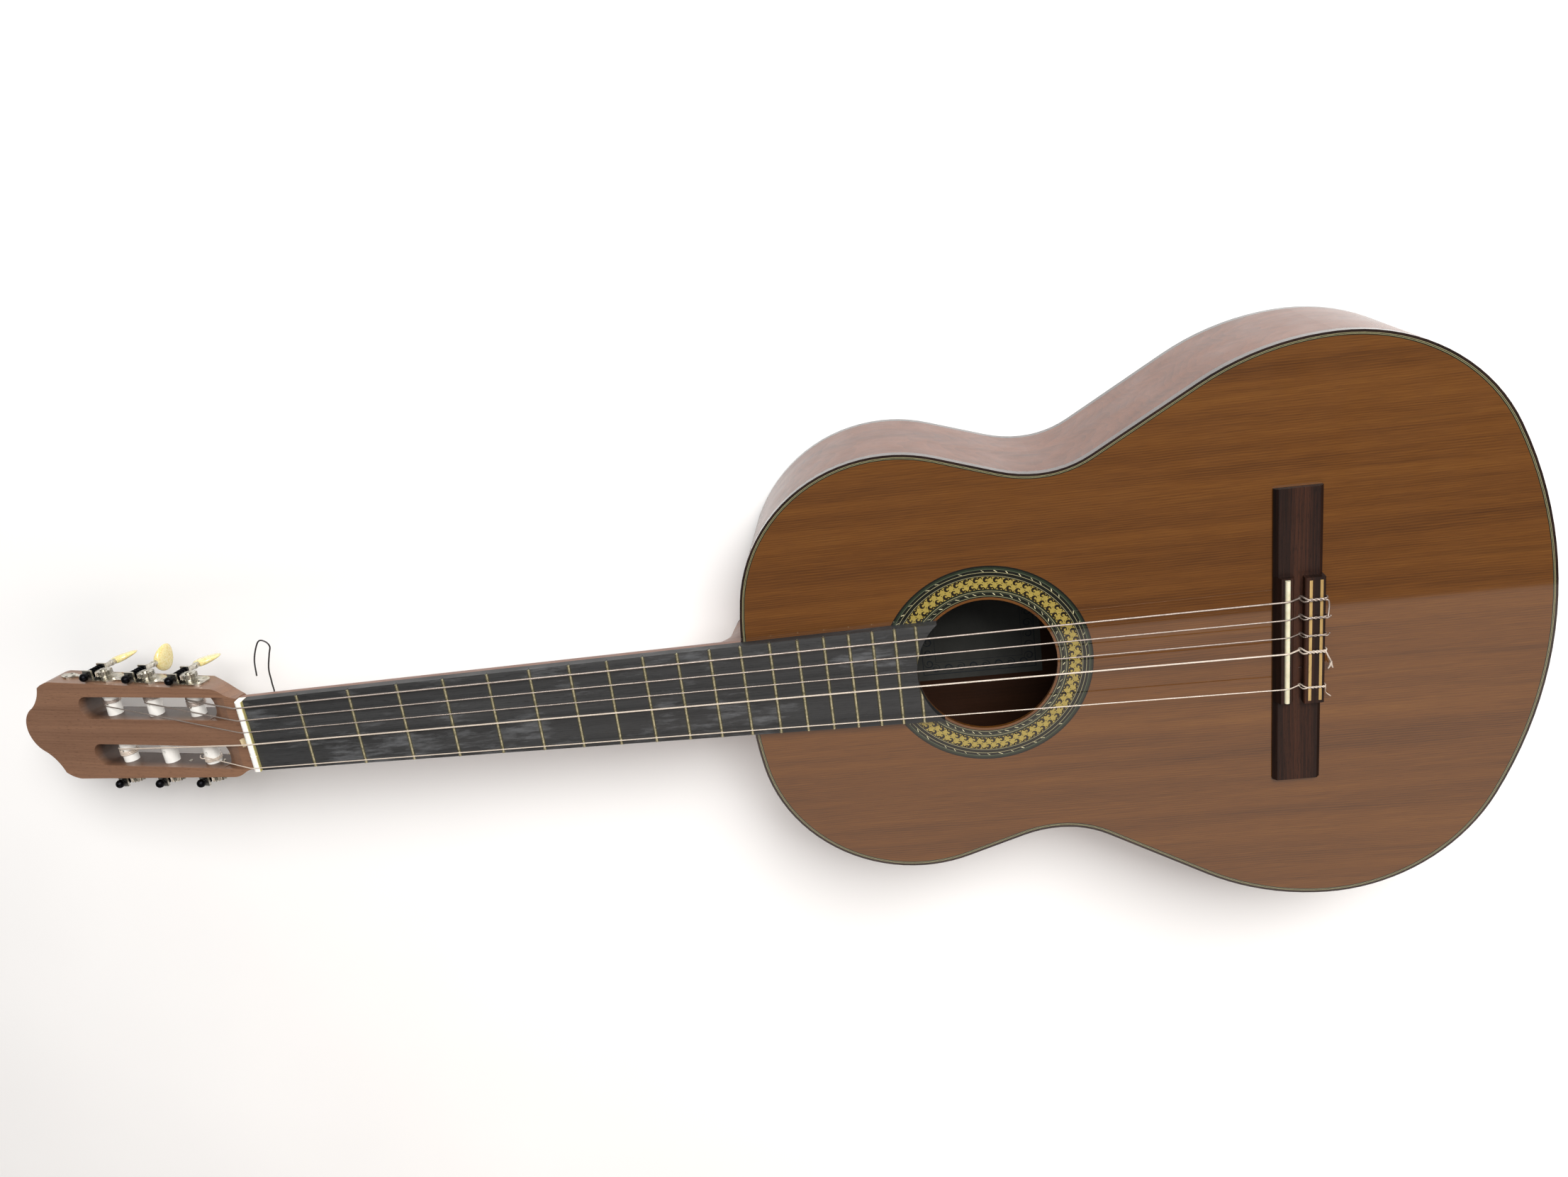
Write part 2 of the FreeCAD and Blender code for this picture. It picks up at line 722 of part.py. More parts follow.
def make_neck(sound):
    """Shaft, heel and the foot inside the body, in one piece of wood."""
    joint, nut = float(joint_x), float(nut_x)
    depth_joint, depth_nut = float(c.neck_depth_joint), float(c.neck_depth_nut)
    behind = 3 * float(c.head_back)
    slope = (depth_joint - depth_nut) / (joint - nut)
    shaft = Part.makeLoft([neck_section(nut - behind, depth_nut - slope * behind),
                           neck_section(joint, depth_joint)], True, True)
    long = float(c.scale_length)
    ahead = Part.makeBox(long, long, long)
    ahead.Placement = head_placement() * Placement(Vector(0, -long / 2, -long / 2), Rotation())
    shaft = shaft.common(ahead)

    cap = float(c.heel_cap_thick)
    depth = float(c.body_depth)
    wide, reach = float(c.heel_cap_half), float(c.heel_cap_long)
    widening = board_half(joint) - wide
    slices = [heel_section(cap + (depth - cap) * rise, wide + widening * share, reach * stretch)
              for rise, share, stretch in HEEL_SLICES]
    heel = Part.makeLoft(slices, True, False)

    passage_half = float(c.neck_end_half)
    passage = Part.makeBox(float(c.rib_thick) + 1, 2 * passage_half, float(top_under - c.back_thick),
                           Vector(joint - 0.5, -passage_half, float(c.back_thick)))
    passage = passage.common(Part.makeBox(100, 100, 200, Vector(joint, -50, 0)))
    whole = solid_feature("neck_wood", shaft.fuse([heel, passage]).removeSplitter())
    joined = fuse("neck_with_foot", [whole, sound.foot])
    return cut("neck_rebated", cut("neck_rebated_top", joined, sound.top_band), sound.back_band)


def heel_cap():
    """The cap under the heel, level with the back."""
    face = Part.Face(heel_section(0, float(c.heel_cap_half), float(c.heel_cap_long)))
    return solid_feature("heel_cap_slip", face.extrude(UP * float(c.heel_cap_thick)))


def fret_place(number):
    """Where a fret lies: each one shortens the string by the twelfth root of two."""
    return float(nut_x) + float(c.scale_length) * (1 - 2 ** (-number / 12))


def fret_numbers():
    """Every fret, counted from the nut."""
    return range(1, int(float(c.fret_count)) + 1)


def fingerboard(hole):
    """A tapered board from the nut to the edge of the sound hole, slotted for the frets."""
    body = new_body("board_body")
    sketch = new_sketch(body, "board_sketch", lift=c.body_depth)
    end_x = joint_x + c.board_over_body
    nut_half = c.board_width_nut / 2
    taper = (c.board_width_joint - c.board_width_nut) / c.scale_length
    end_half = nut_half + taper * (end_x - nut_x)
    draw_outline(sketch, [(nut_x, -nut_half), (end_x, -end_half), (end_x, end_half), (nut_x, nut_half)])
    pad(body, "board_pad", sketch, c.board_thick)
    slots = []
    for number in fret_numbers():
        x = fret_place(number)
        half = board_half(x) + 1
        slots.append(Part.makeBox(float(c.tang_wide), 2 * half, float(c.tang_deep) + 1,
                                  Vector(x - float(c.tang_wide) / 2, -half, float(board_top - c.tang_deep))))
    slotted = cut("board_slotted", body, solid_feature("fret_slots", Part.makeCompound(slots)))
    return cut("board_over_hole", slotted, hole)


def frets(hole):
    """Nickel wire: a domed crown on a tang; the sound hole cuts the last one in two."""
    high, wide = float(c.fret_high), float(c.fret_wide)
    tang = float(c.tang_wide)
    top = float(board_top)
    wires = []
    for number in fret_numbers():
        x = fret_place(number)
        half = board_half(x) - float(c.fret_inset)
        left, right = Vector(x - wide / 2, -half, top), Vector(x + wide / 2, -half, top)
        crown = Part.Wire([Part.Arc(left, Vector(x, -half, top + high), right).toShape(),
                           Part.makeLine(right, left)])
        crown = Part.Face(crown).extrude(ACROSS * (2 * half))
        blade = Part.makeBox(tang, 2 * half, float(c.tang_deep),
                             Vector(x - tang / 2, -half, top - float(c.tang_deep)))
        wires.append(crown.fuse(blade).removeSplitter())
    return cut("fret_wires_cut", solid_feature("fret_wires", Part.makeCompound(wires)), hole)


def nut(slots):
    """The nut: a bone bar with a rounded back edge and a slot for each of the six strings."""
    body = new_body("nut_body")
    sketch = new_sketch(body, "nut_sketch", "XZ_Plane")
    top, low = c.body_depth + c.nut_high, c.body_depth
    back = nut_x - c.nut_long
    draw_outline(sketch, [(back, low), (nut_x, low), (nut_x, top),
                          (back + c.nut_long / 2, top, c.nut_long / 2, 1),
                          (back, top - c.nut_long / 2)])
    pad(body, "nut_pad", sketch, c.nut_half * 2, centred=True)
    return cut("nut_slotted", body, slots)


# --- headstock and machine heads ----------------------------------------------------------------------------

SIDES = {"bass": 1, "treble": -1}
STATIONS = (1, 2, 3)


def roller_station(number):
    """Distance of a roller from the head's root, along its face."""
    return float(c.first_roller) + (number - 1) * float(c.roller_pitch)


def edge_half(station):
    """Half the head's width at a station on its straight edges."""
    run = float(c.head_wide_station) - float(c.head_flare_station)
    rise = float(c.head_half_wide) - float(c.head_half_flare)
    return float(c.head_half_flare) + rise * (station - float(c.head_flare_station)) / run


def edge_angle():
    """How far the head's straight edges splay, in degrees."""
    run = float(c.head_wide_station) - float(c.head_flare_station)
    return math.degrees(math.atan2(float(c.head_half_wide) - float(c.head_half_flare), run))


def side_frame(side):
    """A side plate's frame in the head's: origin on the edge at the middle roller, half way down its thickness.

    Its X points out of the head's face, along the worms; its Z points out of the edge, along the rollers.
    Its Y points towards the body on the bass side and towards the tip on the treble side.
    """
    sign = SIDES[side]
    middle = roller_station(2)
    origin = Vector(-middle, sign * edge_half(middle), -float(c.head_thick) / 2)
    splay = Rotation(UP, -sign * edge_angle())
    upright = Rotation(UP, ALONG * sign, ACROSS * sign, "ZYX")
    return Placement(origin, splay * upright)


def tuner_frame(side, number):
    """One tuner's frame: the side plate's, moved along the edge to its roller."""
    towards_tip = -SIDES[side] * (roller_station(number) - roller_station(2))
    along = towards_tip / math.cos(math.radians(edge_angle()))
    return head_placement() * side_frame(side) * Placement(Vector(0, along, 0), Rotation())


def tip_way(side):
    """Which way along a side plate's Y the head's tip lies."""
    return -SIDES[side]


def gear_middle():
    """Height of the gears' middle plane, and of the worms' axes, over the head's edge."""
    return float(c.plate_thick + c.worm_pitch_radius + c.tooth_out) + 0.2


def gear_pitch_radius():
    """The gear's pitch circle: one tooth for each turn of the worm's lead."""
    return float(c.gear_teeth) * float(c.worm_lead) / (2 * math.pi)


def worm_offset():
    """Distance from a roller's axis to its worm's axis: the two pitch circles touch."""
    return gear_pitch_radius() + float(c.worm_pitch_radius)


def rod(radius, start, end, axis=UP, at=Vector(0, 0, 0)):
    """A round bar between two places on an axis."""
    return Part.makeCylinder(radius, end - start, at + axis * start, axis)


def screw_places():
    """Wood screws of a side plate: how far towards the tip from the middle roller."""
    pitch = float(c.roller_pitch)
    return [-float(c.plate_body_end) + 5, -0.43 * pitch, 0.57 * pitch, float(c.plate_tip_end) - 11]


def mirrored(half):
    """Close a half outline, given from one end to the other on the +Y side, with its mirror image."""
    closed = list(half)
    for index in range(len(half) - 1, -1, -1):
        bend = half[index - 1][2:] if index > 0 else ()
        closed.append((half[index][0], -half[index][1]) + bend)
    return closed


def headstock(screws):
    """The slotted head: outline, two long slots with ramps for the strings, holes for rollers and screws."""
    body = new_body("head_body")
    body.Placement = head_placement()
    sketch = new_sketch(body, "head_sketch", lift=-c.head_thick)
    draw_outline(sketch, mirrored([
        (as_size(0), c.head_half_root, 24, -1),
        (-c.head_flare_station * 0.45, c.head_half_root + (c.head_half_flare - c.head_half_root) * 0.4, 18, 1),
        (-c.head_flare_station, c.head_half_flare),
        (-c.head_wide_station, c.head_half_wide, 24, 1),
        (-c.head_shoulder_station, c.head_shoulder_half, 30, -1),
        (-c.head_crest_station, c.head_crest_half, 19, 1),
    ]))
    pad(body, "head_pad", sketch, c.head_thick)

    corner = c.slot_wide / 2 - c.slot_end_flat
    for side, sign in SIDES.items():
        near, far = c.slot_inner * sign, (c.slot_inner + c.slot_wide) * sign
        low, high = (near, far) if sign > 0 else (far, near)
        back, front = -c.slot_end, -c.slot_start
        slot = new_sketch(body, f"slot_sketch_{side}")
        draw_outline(slot, [
            (back + corner, low), (front - corner, low, corner, 1), (front, low + corner),
            (front, high - corner, corner, 1), (front - corner, high), (back + corner, high, corner, 1),
            (back, high - corner), (back, low + corner, corner, 1)])
        pocket(body, f"slot_{side}", slot, c.head_thick)

    holes = []
    radius = float(c.roller_radius + c.roller_clearance)
    for side in SIDES:
        for number in STATIONS:
            hole = rod(radius, -float(c.roller_length) - 1.3, 3)
            hole.Placement = tuner_frame(side, number)
            holes.append(hole)
    drilled = cut("head_drilled", body, solid_feature("roller_holes", Part.makeCompound(holes)))
    drilled = cut("head_screwed", drilled, screws)

    ramps = []
    long, high = float(c.slot_wide), 12
    for sign in SIDES.values():
        start = Vector(-float(c.slot_ramp_start), sign * float(c.slot_inner + c.slot_wide / 2), 0)
        ramp = Part.makeBox(long, float(c.slot_wide), high, Vector(-long, -float(c.slot_wide) / 2, 0))
        ramp.Placement = (head_placement() * Placement(start, Rotation(ACROSS, -float(c.slot_ramp_angle))))
        ramps.append(ramp)
    ramped = cut("head_ramped", drilled, solid_feature("string_ramps", Part.makeCompound(ramps)))

    bevels = []
    thick = float(c.head_thick)
    for sign in SIDES.values():
        root_half, flare = float(c.head_half_root), float(c.head_flare_station)
        apexes = [Vector(1, sign * root_half * 0.35, -thick - 0.5), Vector(1, sign * (root_half + 3), -thick * 0.3),
                  Vector(-flare * 1.8, sign * (root_half + 12), -thick - 0.5),
                  Vector(1, sign * (root_half + 20), -thick - 0.5)]
        faces = [Part.Face(Part.makePolygon([apexes[i], apexes[j], apexes[k], apexes[i]]))
                 for i, j, k in ((0, 1, 2), (0, 1, 3), (1, 2, 3), (0, 2, 3))]
        bevel = Part.Solid(Part.Shell(faces))
        if bevel.Volume < 0:
            bevel.reverse()
        bevel.Placement = head_placement()
        bevels.append(bevel)
    return cut("head_bevelled", ramped, solid_feature("root_bevels", Part.makeCompound(bevels)))


def plate_placement(side):
    """A side plate's place; it is the same plate on both sides, turned half round on the bass side."""
    turn = Rotation(UP, 180 if side == "bass" else 0)
    return head_placement() * side_frame(side) * Placement(Vector(0, 0, 0), turn)


def side_plate(side):
    """Nickel plate for three tuners: scalloped edges, a pierced tip, and a pair of bearing tabs for each worm."""
    body = new_body(f"plate_body_{side}")
    sketch = new_sketch(body, f"plate_sketch_{side}")
    half, pitch = c.plate_half, c.roller_pitch
    scallop, body_end, tip = 15, c.plate_body_end, c.plate_tip_end
    edge = [
        (-body_end, half * 0.4, 6, -1),
        (-body_end + 5, half),
        (-pitch * 0.72, half, scallop, 1),
        (-pitch * 0.2, half),
        (pitch * 0.28, half, scallop, 1),
        (pitch * 0.8, half),
        (pitch * 1.3, half, scallop, 1),
        (tip - 7, half * 0.55, 9, -1),
        (tip, half * 0.12),
    ]
    outline = []
    for x, y, *bend in mirrored(edge):
        turned = (bend[0], -bend[1]) if bend else ()
        outline.append((y, x, *turned))
    draw_outline(sketch, outline)
    pad(body, f"plate_pad_{side}", sketch, c.plate_thick)

    tabs = new_sketch(body, f"tab_sketch_{side}")
    tab_half = c.shaft_radius * 2
    for number in STATIONS:
        centre = pitch * (number - 2) + worm_offset()
        for low in (c.worm_half + 0.1, -c.worm_half - 0.1 - c.tab_thick):
            high = low + c.tab_thick
            draw_outline(tabs, [(low, centre - tab_half), (high, centre - tab_half),
                                (high, centre + tab_half), (low, centre + tab_half)])
    pad(body, f"tab_pad_{side}", tabs, gear_middle() + 2 * float(c.shaft_radius))

    drills = []
    for number in STATIONS:
        middle = float(pitch) * (number - 2)
        drills.append(rod(float(c.spindle_radius + c.shaft_clearance), -1, 3, at=ACROSS * middle))
        drills.append(rod(float(c.shaft_radius + c.shaft_clearance), -10, 10, ALONG,
                          Vector(0, middle + worm_offset(), gear_middle())))
    for place in screw_places():
        drills.append(rod(float(c.screw_radius) + 0.1, -1, 3, at=ACROSS * place))
    for out in (-1, 1):
        piercing = Vector(out * float(half) * 0.42, float(tip) - 16, 0)
        drills.append(rod(1.2, -1, 3, at=piercing))
        drills.append(rod(0.9, -1, 3, at=piercing + Vector(-out * 0.6, 10, 0)))
    body.Placement = plate_placement(side)
    return cut(f"plate_drilled_{side}", body,
               solid_feature(f"plate_drills_{side}", Part.makeCompound(drills), plate_placement(side)))


def plate_screws():
    """Round-headed wood screws that hold the two side plates."""
    screws = []
    top = float(c.plate_thick)
    for side in SIDES:
        for place in screw_places():
            at = ACROSS * place
            head = Part.makeSphere(3.2, at + UP * (top - 2.2))
            head = head.common(rod(float(c.screw_head_radius), top, top + 2, at=at))
            screw = head.fuse(rod(float(c.screw_radius), -float(c.screw_deep), top + 0.3, at=at))
            screw.Placement = plate_placement(side)
            screws.append(screw)
    return solid_feature("plate_screws", Part.makeCompound(screws))


TOOTH_HALF = 0.42
FLANK = math.tan(math.radians(20))


def gear_outline(height, turn):
    """The gear's toothed outline at a height, turned so that its teeth follow the worm's slant."""
    pitch_radius = gear_pitch_radius()
    root, tip = pitch_radius - float(c.tooth_in), pitch_radius + float(c.tooth_out)
    flank = [(root, -TOOTH_HALF - 0.25), (pitch_radius, -TOOTH_HALF), (tip, -0.2),
             (tip, 0.2), (pitch_radius, TOOTH_HALF), (root, TOOTH_HALF + 0.25)]
    count = int(float(c.gear_teeth))
    points = []
    for tooth in range(count):
        middle = math.pi / 2 + 2 * math.pi * tooth / count + turn
        for radius, aside in flank:
            angle = middle + aside / radius
            points.append(Vector(radius * math.cos(angle), radius * math.sin(angle), height))
    return Part.makePolygon(points + points[:1])


def gear():
    """Gear, its spindle through the roller, and the screw that holds them: one turning piece."""
    low = gear_middle() - float(c.gear_thick) / 2
    high = low + float(c.gear_thick)
    lead_angle = math.atan2(float(c.worm_lead), 2 * math.pi * float(c.worm_pitch_radius))
    slant = float(c.gear_thick) / 2 * math.tan(lead_angle) / gear_pitch_radius()
    wheel = Part.makeLoft([gear_outline(low, -slant), gear_outline(high, slant)], True, True)
    hub = rod(3.2, float(c.plate_thick) + 0.1, low + 0.1)
    spindle = rod(float(c.spindle_radius), -float(c.roller_length) - 0.3, low + 0.1)
    screw = rod(2.2, high - 0.1, high + 0.8)
    slot = Part.makeBox(6, 0.7, 1, Vector(-3, -0.35, high + 0.3))
    return wheel.fuse([hub, spindle, screw]).cut(slot).removeSplitter()


def worm(side):
    """Worm shaft: ball end in front of the face, thread between the tabs, collars and stem behind."""
    lead, half = float(c.worm_lead), float(c.worm_half)
    pitch_radius = float(c.worm_pitch_radius)
    root, tip = pitch_radius - float(c.tooth_in), pitch_radius + float(c.tooth_out)
    at_gear = -tip_way(side) * math.pi / 2
    start = lead / 2 - lead * at_gear / (2 * math.pi)
    start -= lead * math.ceil((start + half) / lead + 1)
    turns = math.ceil((half - start) / lead) + 1
    helix = Part.makeHelix(lead, lead * turns, pitch_radius)
    sunk = 0.15
    root_half = TOOTH_HALF + (float(c.tooth_in) + sunk) * FLANK
    tip_half = TOOTH_HALF - float(c.tooth_out) * FLANK
    profile = Part.makePolygon([Vector(root - sunk, 0, -root_half), Vector(tip, 0, -tip_half),
                                Vector(tip, 0, tip_half), Vector(root - sunk, 0, root_half),
                                Vector(root - sunk, 0, -root_half)])
    thread = Part.Wire(helix).makePipeShell([profile], True, True)
    thread.translate(UP * start)
    thread = thread.common(rod(tip + 1, -half, half))
    shaft = float(c.shaft_radius)
    outside_tab = half + 0.2 + float(c.tab_thick)
    stem_end = -float(c.button_start) - float(c.button_long) * 0.55
    ball = float(c.ball_radius)
    pieces = [rod(root, -half, half), rod(shaft, stem_end, outside_tab + ball / 2),
              Part.makeSphere(ball, UP * (outside_tab + ball)),
              rod(2.6, -outside_tab - 1.3, -outside_tab),
              Part.makeSphere(2.2, UP * -(float(c.button_start) - 2.6))]
    whole = thread.fuse(pieces)
    lying = Placement(Vector(0, tip_way(side) * worm_offset(), gear_middle()), Rotation(ACROSS, 90))
    whole.Placement = lying
    return whole


def button(side, number, turn):
    """A broad flat button on the worm's stem, turned about it."""
    body = new_body(f"button_body_{side}_{number}")
    sketch = new_sketch(body, f"button_sketch_{side}_{number}")
    start, long, half = c.button_start, c.button_long, c.button_wide / 2
    draw_outline(sketch, mirrored([
        (-start, half * 0.3, 9, -1),
        (-start - long * 0.28, half * 0.8, 5.5, 1),
        (-start - long * 0.55, half, 6.5, 1),
        (-start - long * 0.93, half * 0.55, 40, 1),
    ]))
    pad(body, f"button_pad_{side}_{number}", sketch, c.button_thick, centred=True)
    body.Placement = (tuner_frame(side, number)
                      * Placement(Vector(0, tip_way(side) * worm_offset(), gear_middle()), Rotation(ALONG, turn)))
    stem = rod(float(c.shaft_radius), -float(c.button_start) - float(c.button_long) * 0.55, 0)
    stem = solid_feature(f"button_bore_{side}_{number}", stem,
                         body.Placement * Placement(Vector(0, 0, 0), Rotation(ACROSS, 90)))
    return cut(f"button_bored_{side}_{number}", body, stem)


def slot_middle(number):
    """The slot's middle, along a roller's axis."""
    middle = float(c.slot_inner + c.slot_wide / 2)
    return -(edge_half(roller_station(number)) - middle) / math.cos(math.radians(edge_angle()))


def roller(side, number):
    """A plastic sleeve on the spindle, with a hole for the string in the middle of the slot."""
    body = new_body(f"roller_body_{side}_{number}")
    end = 0.3
    sketch = new_sketch(body, f"roller_sketch_{side}_{number}", lift=-c.roller_length - end)
    draw_circle(sketch, 0, 0, c.roller_radius)
    draw_circle(sketch, 0, 0, c.spindle_radius)
    pad(body, f"roller_pad_{side}_{number}", sketch, c.roller_length)
    through = new_sketch(body, f"roller_hole_sketch_{side}_{number}", "YZ_Plane")
    draw_circle(through, 0, slot_middle(number), 1.1)
    pocket(body, f"roller_hole_{side}_{number}", through, c.roller_radius * 3, centred=True)
    body.Placement = tuner_frame(side, number)
    return body


def tuners():
    """All six: gear, roller, worm and button, each in its own node."""
    turns = {("bass", 1): 12, ("bass", 2): 82, ("bass", 3): 16,
             ("treble", 1): -10, ("treble", 2): 6, ("treble", 3): 14}
    for (side, number), turn in turns.items():
        frame = tuner_frame(side, number)
        keep(f"gear_{side}_{number}", solid_feature(f"gear_shape_{side}_{number}", gear(), frame))
        shaft = worm(side)
        shaft.Placement = frame * shaft.Placement
        keep(f"worm_{side}_{number}", solid_feature(f"worm_shape_{side}_{number}", shaft))
        keep(f"button_{side}_{number}", button(side, number, turn))
        keep(f"roller_{side}_{number}", roller(side, number))


# --- bridge -------------------------------------------------------------------------------------------------

def string_hole(radius, y):
    """The hole that a string takes through the tie block."""
    start = float(bridge_x + c.tie_start) - 2
    high = float(c.body_depth + c.string_hole_high)
    return rod(radius, 0, float(c.bridge_wide), ALONG, Vector(start, y, high))


def saddle_places():
    """Where every string, the missing one too, crosses the saddle."""
    return [string[4] for string in STRINGS] + [SECOND_STRING_SLOT[2]]


def trims():
    """Two pale strips let into the tie block's top."""
    high = c.body_depth + c.tie_high
    strips = []
    for name, start in (("front", c.tie_start + 2.4), ("rear", c.bridge_wide - c.trim_wide - 1.6)):
        low = bridge_x + start
        strips.append(box(f"trim_{name}", (low, -c.trim_half, high - c.trim_deep),
                          (low + c.trim_wide, c.trim_half, high)))
    pair = doc.addObject("Part::Compound", "trim_pair")
    pair.Links = strips
    return pair


def bridge(trim_pair):
    """Wings, saddle slot and tie block in one piece of wood."""
    floor = c.body_depth
    back = bridge_x + c.bridge_wide
    soft = c.wing_high * 0.4
    wings = new_body("wing_body")
    section = new_sketch(wings, "wing_sketch", "XZ_Plane")
    draw_outline(section, [(bridge_x, floor), (back, floor), (back, floor + soft),
                           (back - soft * 1.4, floor + c.wing_high),
                           (bridge_x + soft * 1.4, floor + c.wing_high), (bridge_x, floor + soft)])
    pad(wings, "wing_pad", section, c.bridge_long, centred=True)

    middle = new_body("tie_body")
    section = new_sketch(middle, "tie_sketch", "XZ_Plane")
    tie_x = bridge_x + c.tie_start
    slot_x = saddle_x - c.saddle_thick / 2
    slot_end = slot_x + c.saddle_thick
    lip = floor + c.tie_high - 1.6
    draw_outline(section, [
        (bridge_x, floor), (back, floor), (back, floor + c.tie_high - 0.6), (back - 0.6, floor + c.tie_high),
        (tie_x + 0.6, floor + c.tie_high), (tie_x, floor + c.tie_high - 0.6), (tie_x, floor + 3.2),
        (tie_x - 5, floor + c.wing_high), (slot_end + 1.6, lip), (slot_x - 1.8, lip), (bridge_x, floor + soft)])
    pad(middle, "tie_pad", section, c.tie_half * 2, centred=True)

    joined = fuse("bridge_joined", [wings, middle])
    seat = box("saddle_seat", (slot_x, -c.saddle_half, floor + c.saddle_floor),
               (slot_end, c.saddle_half, floor + c.tie_high))
    holes = [string_hole(float(c.string_hole_radius), y) for y in saddle_places()]
    holed = cut("bridge_holed", cut("bridge_seated", joined, seat),
                solid_feature("string_holes", Part.makeCompound(holes)))
    return cut("bridge_inlaid", holed, trim_pair)


def saddle():
    """The saddle: a bone strip with a rounded crest, standing in its slot."""
    body = new_body("saddle_body")
    sketch = new_sketch(body, "saddle_sketch", "XZ_Plane")
    half = c.saddle_thick / 2
    low, shoulder = c.body_depth + c.saddle_floor, c.body_depth + c.saddle_high - half
    draw_outline(sketch, [(saddle_x - half, low), (saddle_x + half, low), (saddle_x + half, shoulder, half, 1),
                          (saddle_x, c.body_depth + c.saddle_high, half, 1), (saddle_x - half, shoulder)])
    pad(body, "saddle_pad", sketch, c.saddle_half * 2, centred=True)
    return body


# --- strings ------------------------------------------------------------------------------------------------

TOUCH = 0.04                     # how far a string stays off what it bears on
WRAP_TURNS = 4
ARRIVALS = {"sixth": 22.0, "fifth": 19.5, "fourth": 17.0, "third": -15.5, "first": -20.5}


def rounded_path(points, radii):
    """Straight runs joined by tangent arcs, one radius for each inner point."""
    edges = []
    last = points[0]
    for before, corner, after, radius in zip(points, points[1:], points[2:], radii):
        inward, outward = (corner - before).normalize(), (after - corner).normalize()
        turn = inward.getAngle(outward)
        reach = radius * math.tan(turn / 2)
        start, end = corner - inward * reach, corner + outward * reach
        middle = (outward - inward).normalize()
        crest = corner + middle * (radius / math.cos(turn / 2) - radius)
        edges.append(Part.makeLine(last, start))
        edges.append(Part.Arc(start, crest, end).toShape())
        last = end
    edges.append(Part.makeLine(last, points[-1]))
    return Part.Wire(edges)


def tube(path, points, radius):
    """A round section swept along a path."""
    way = (points[1] - points[0]).normalize()
    section = Part.Wire(Part.Circle(points[0], way, radius).toShape())
    return path.makePipeShell([section], True, True)


def nut_exit(radius, y):
    """Where a string turns down behind the nut."""
    return Vector(float(nut_x - c.nut_long) - 0.6, y, float(nut_floor) + radius + TOUCH)


def roller_touch(radius, start, side, number, y):
    """Where a string from the nut comes down on top of its roller, and how far along the roller that is."""
    frame = tuner_frame(side, number)
    outwards = frame.Rotation.multVec(UP)
    centre = frame.Base + outwards * ((y - frame.Base.y) / outwards.y)
    run, drop = start.x - centre.x, start.z - centre.z
    bend = float(c.roller_radius) + radius + TOUCH
    lean = math.atan2(drop, run) - math.asin(bend / math.hypot(run, drop))
    upright = Vector(-math.sin(lean), 0, math.cos(lean))
    along = frame.inverse().multVec(centre).z
    return centre + upright * bend, along


def string_points(name, radius, nut_y, saddle_y, side, number):
    """The string's route: roller, nut, saddle, tie block hole, and back over the tie block's top."""
    leave = nut_exit(radius, nut_y)
    touch, _ = roller_touch(radius, leave, side, number, ARRIVALS[name])
    crest = float(c.saddle_thick) / 2
    top = Vector(float(saddle_x), saddle_y, float(c.body_depth + c.saddle_high) - crest)
    hole = Vector(float(bridge_x + c.tie_start) - 1.2, saddle_y, float(c.body_depth + c.string_hole_high))
    bend = crest + radius + TOUCH
    fall = math.atan2(top.z + bend - hole.z, hole.x - top.x)
    corner = top + Vector(math.sin(fall / 2), 0, math.cos(fall / 2)) * (bend / math.cos(fall / 2))
    back = float(bridge_x + c.bridge_wide) + 3
    over = float(c.body_depth + c.tie_high) + radius + TOUCH
    points = [touch, leave, corner, hole,
              Vector(back, saddle_y, hole.z), Vector(back, saddle_y, over),
              Vector(float(bridge_x + c.tie_start) + 1, saddle_y, over)]
    loop = (over - hole.z) / 2 * 0.96
    return points, [2, bend, 3, loop, loop]


def strings():
    """The five strings, and the turns of each on its roller."""
    for _, name, radius, nut_y, saddle_y, side, number in STRINGS:
        points, radii = string_points(name, radius, nut_y, saddle_y, side, number)
        path = rounded_path(points, radii)
        shape = tube(path, points, radius)
        missing = abs(shape.Volume / (path.Length * math.pi * radius ** 2) - 1)
        if missing > 0.02:
            raise RuntimeError(f"{name} string: its tube has lost volume, {missing:.3f}")
        keep(f"string_{name}", solid_feature(f"string_shape_{name}", shape))
        keep(f"wrap_{name}", string_wrap(name, radius, nut_y, side, number))


def string_wrap(name, radius, nut_y, side, number):
    """The turns round the roller, side by side, next to the place where the string comes down."""
    _, along = roller_touch(radius, nut_exit(radius, nut_y), side, number, ARRIVALS[name])
    pitch = 2 * radius
    high = pitch * WRAP_TURNS
    inner = float(c.roller_radius) + TOUCH
    outer = inner + radius
    start = along + 2 * radius + 0.3
    if start + high > slot_middle(number) + float(c.slot_wide) / 2:
        start = along - 2 * radius - 0.3 - high
    edges = [Part.makeLine(Vector(inner, 0, high), Vector(inner, 0, 0)),
             Part.makeLine(Vector(inner, 0, 0), Vector(outer, 0, 0))]
    for turn in range(WRAP_TURNS):
        low = Vector(outer, 0, turn * pitch)
        edges.append(Part.Arc(low, low + Vector(radius, 0, radius), low + UP * pitch).toShape())
    edges.append(Part.makeLine(Vector(outer, 0, high), Vector(inner, 0, high)))
    coil = Part.Face(Part.Wire(edges)).revolve(Vector(0, 0, 0), UP, 360)
    return solid_feature(f"wrap_shape_{name}", coil,
                         tuner_frame(side, number) * Placement(UP * start, Rotation()))


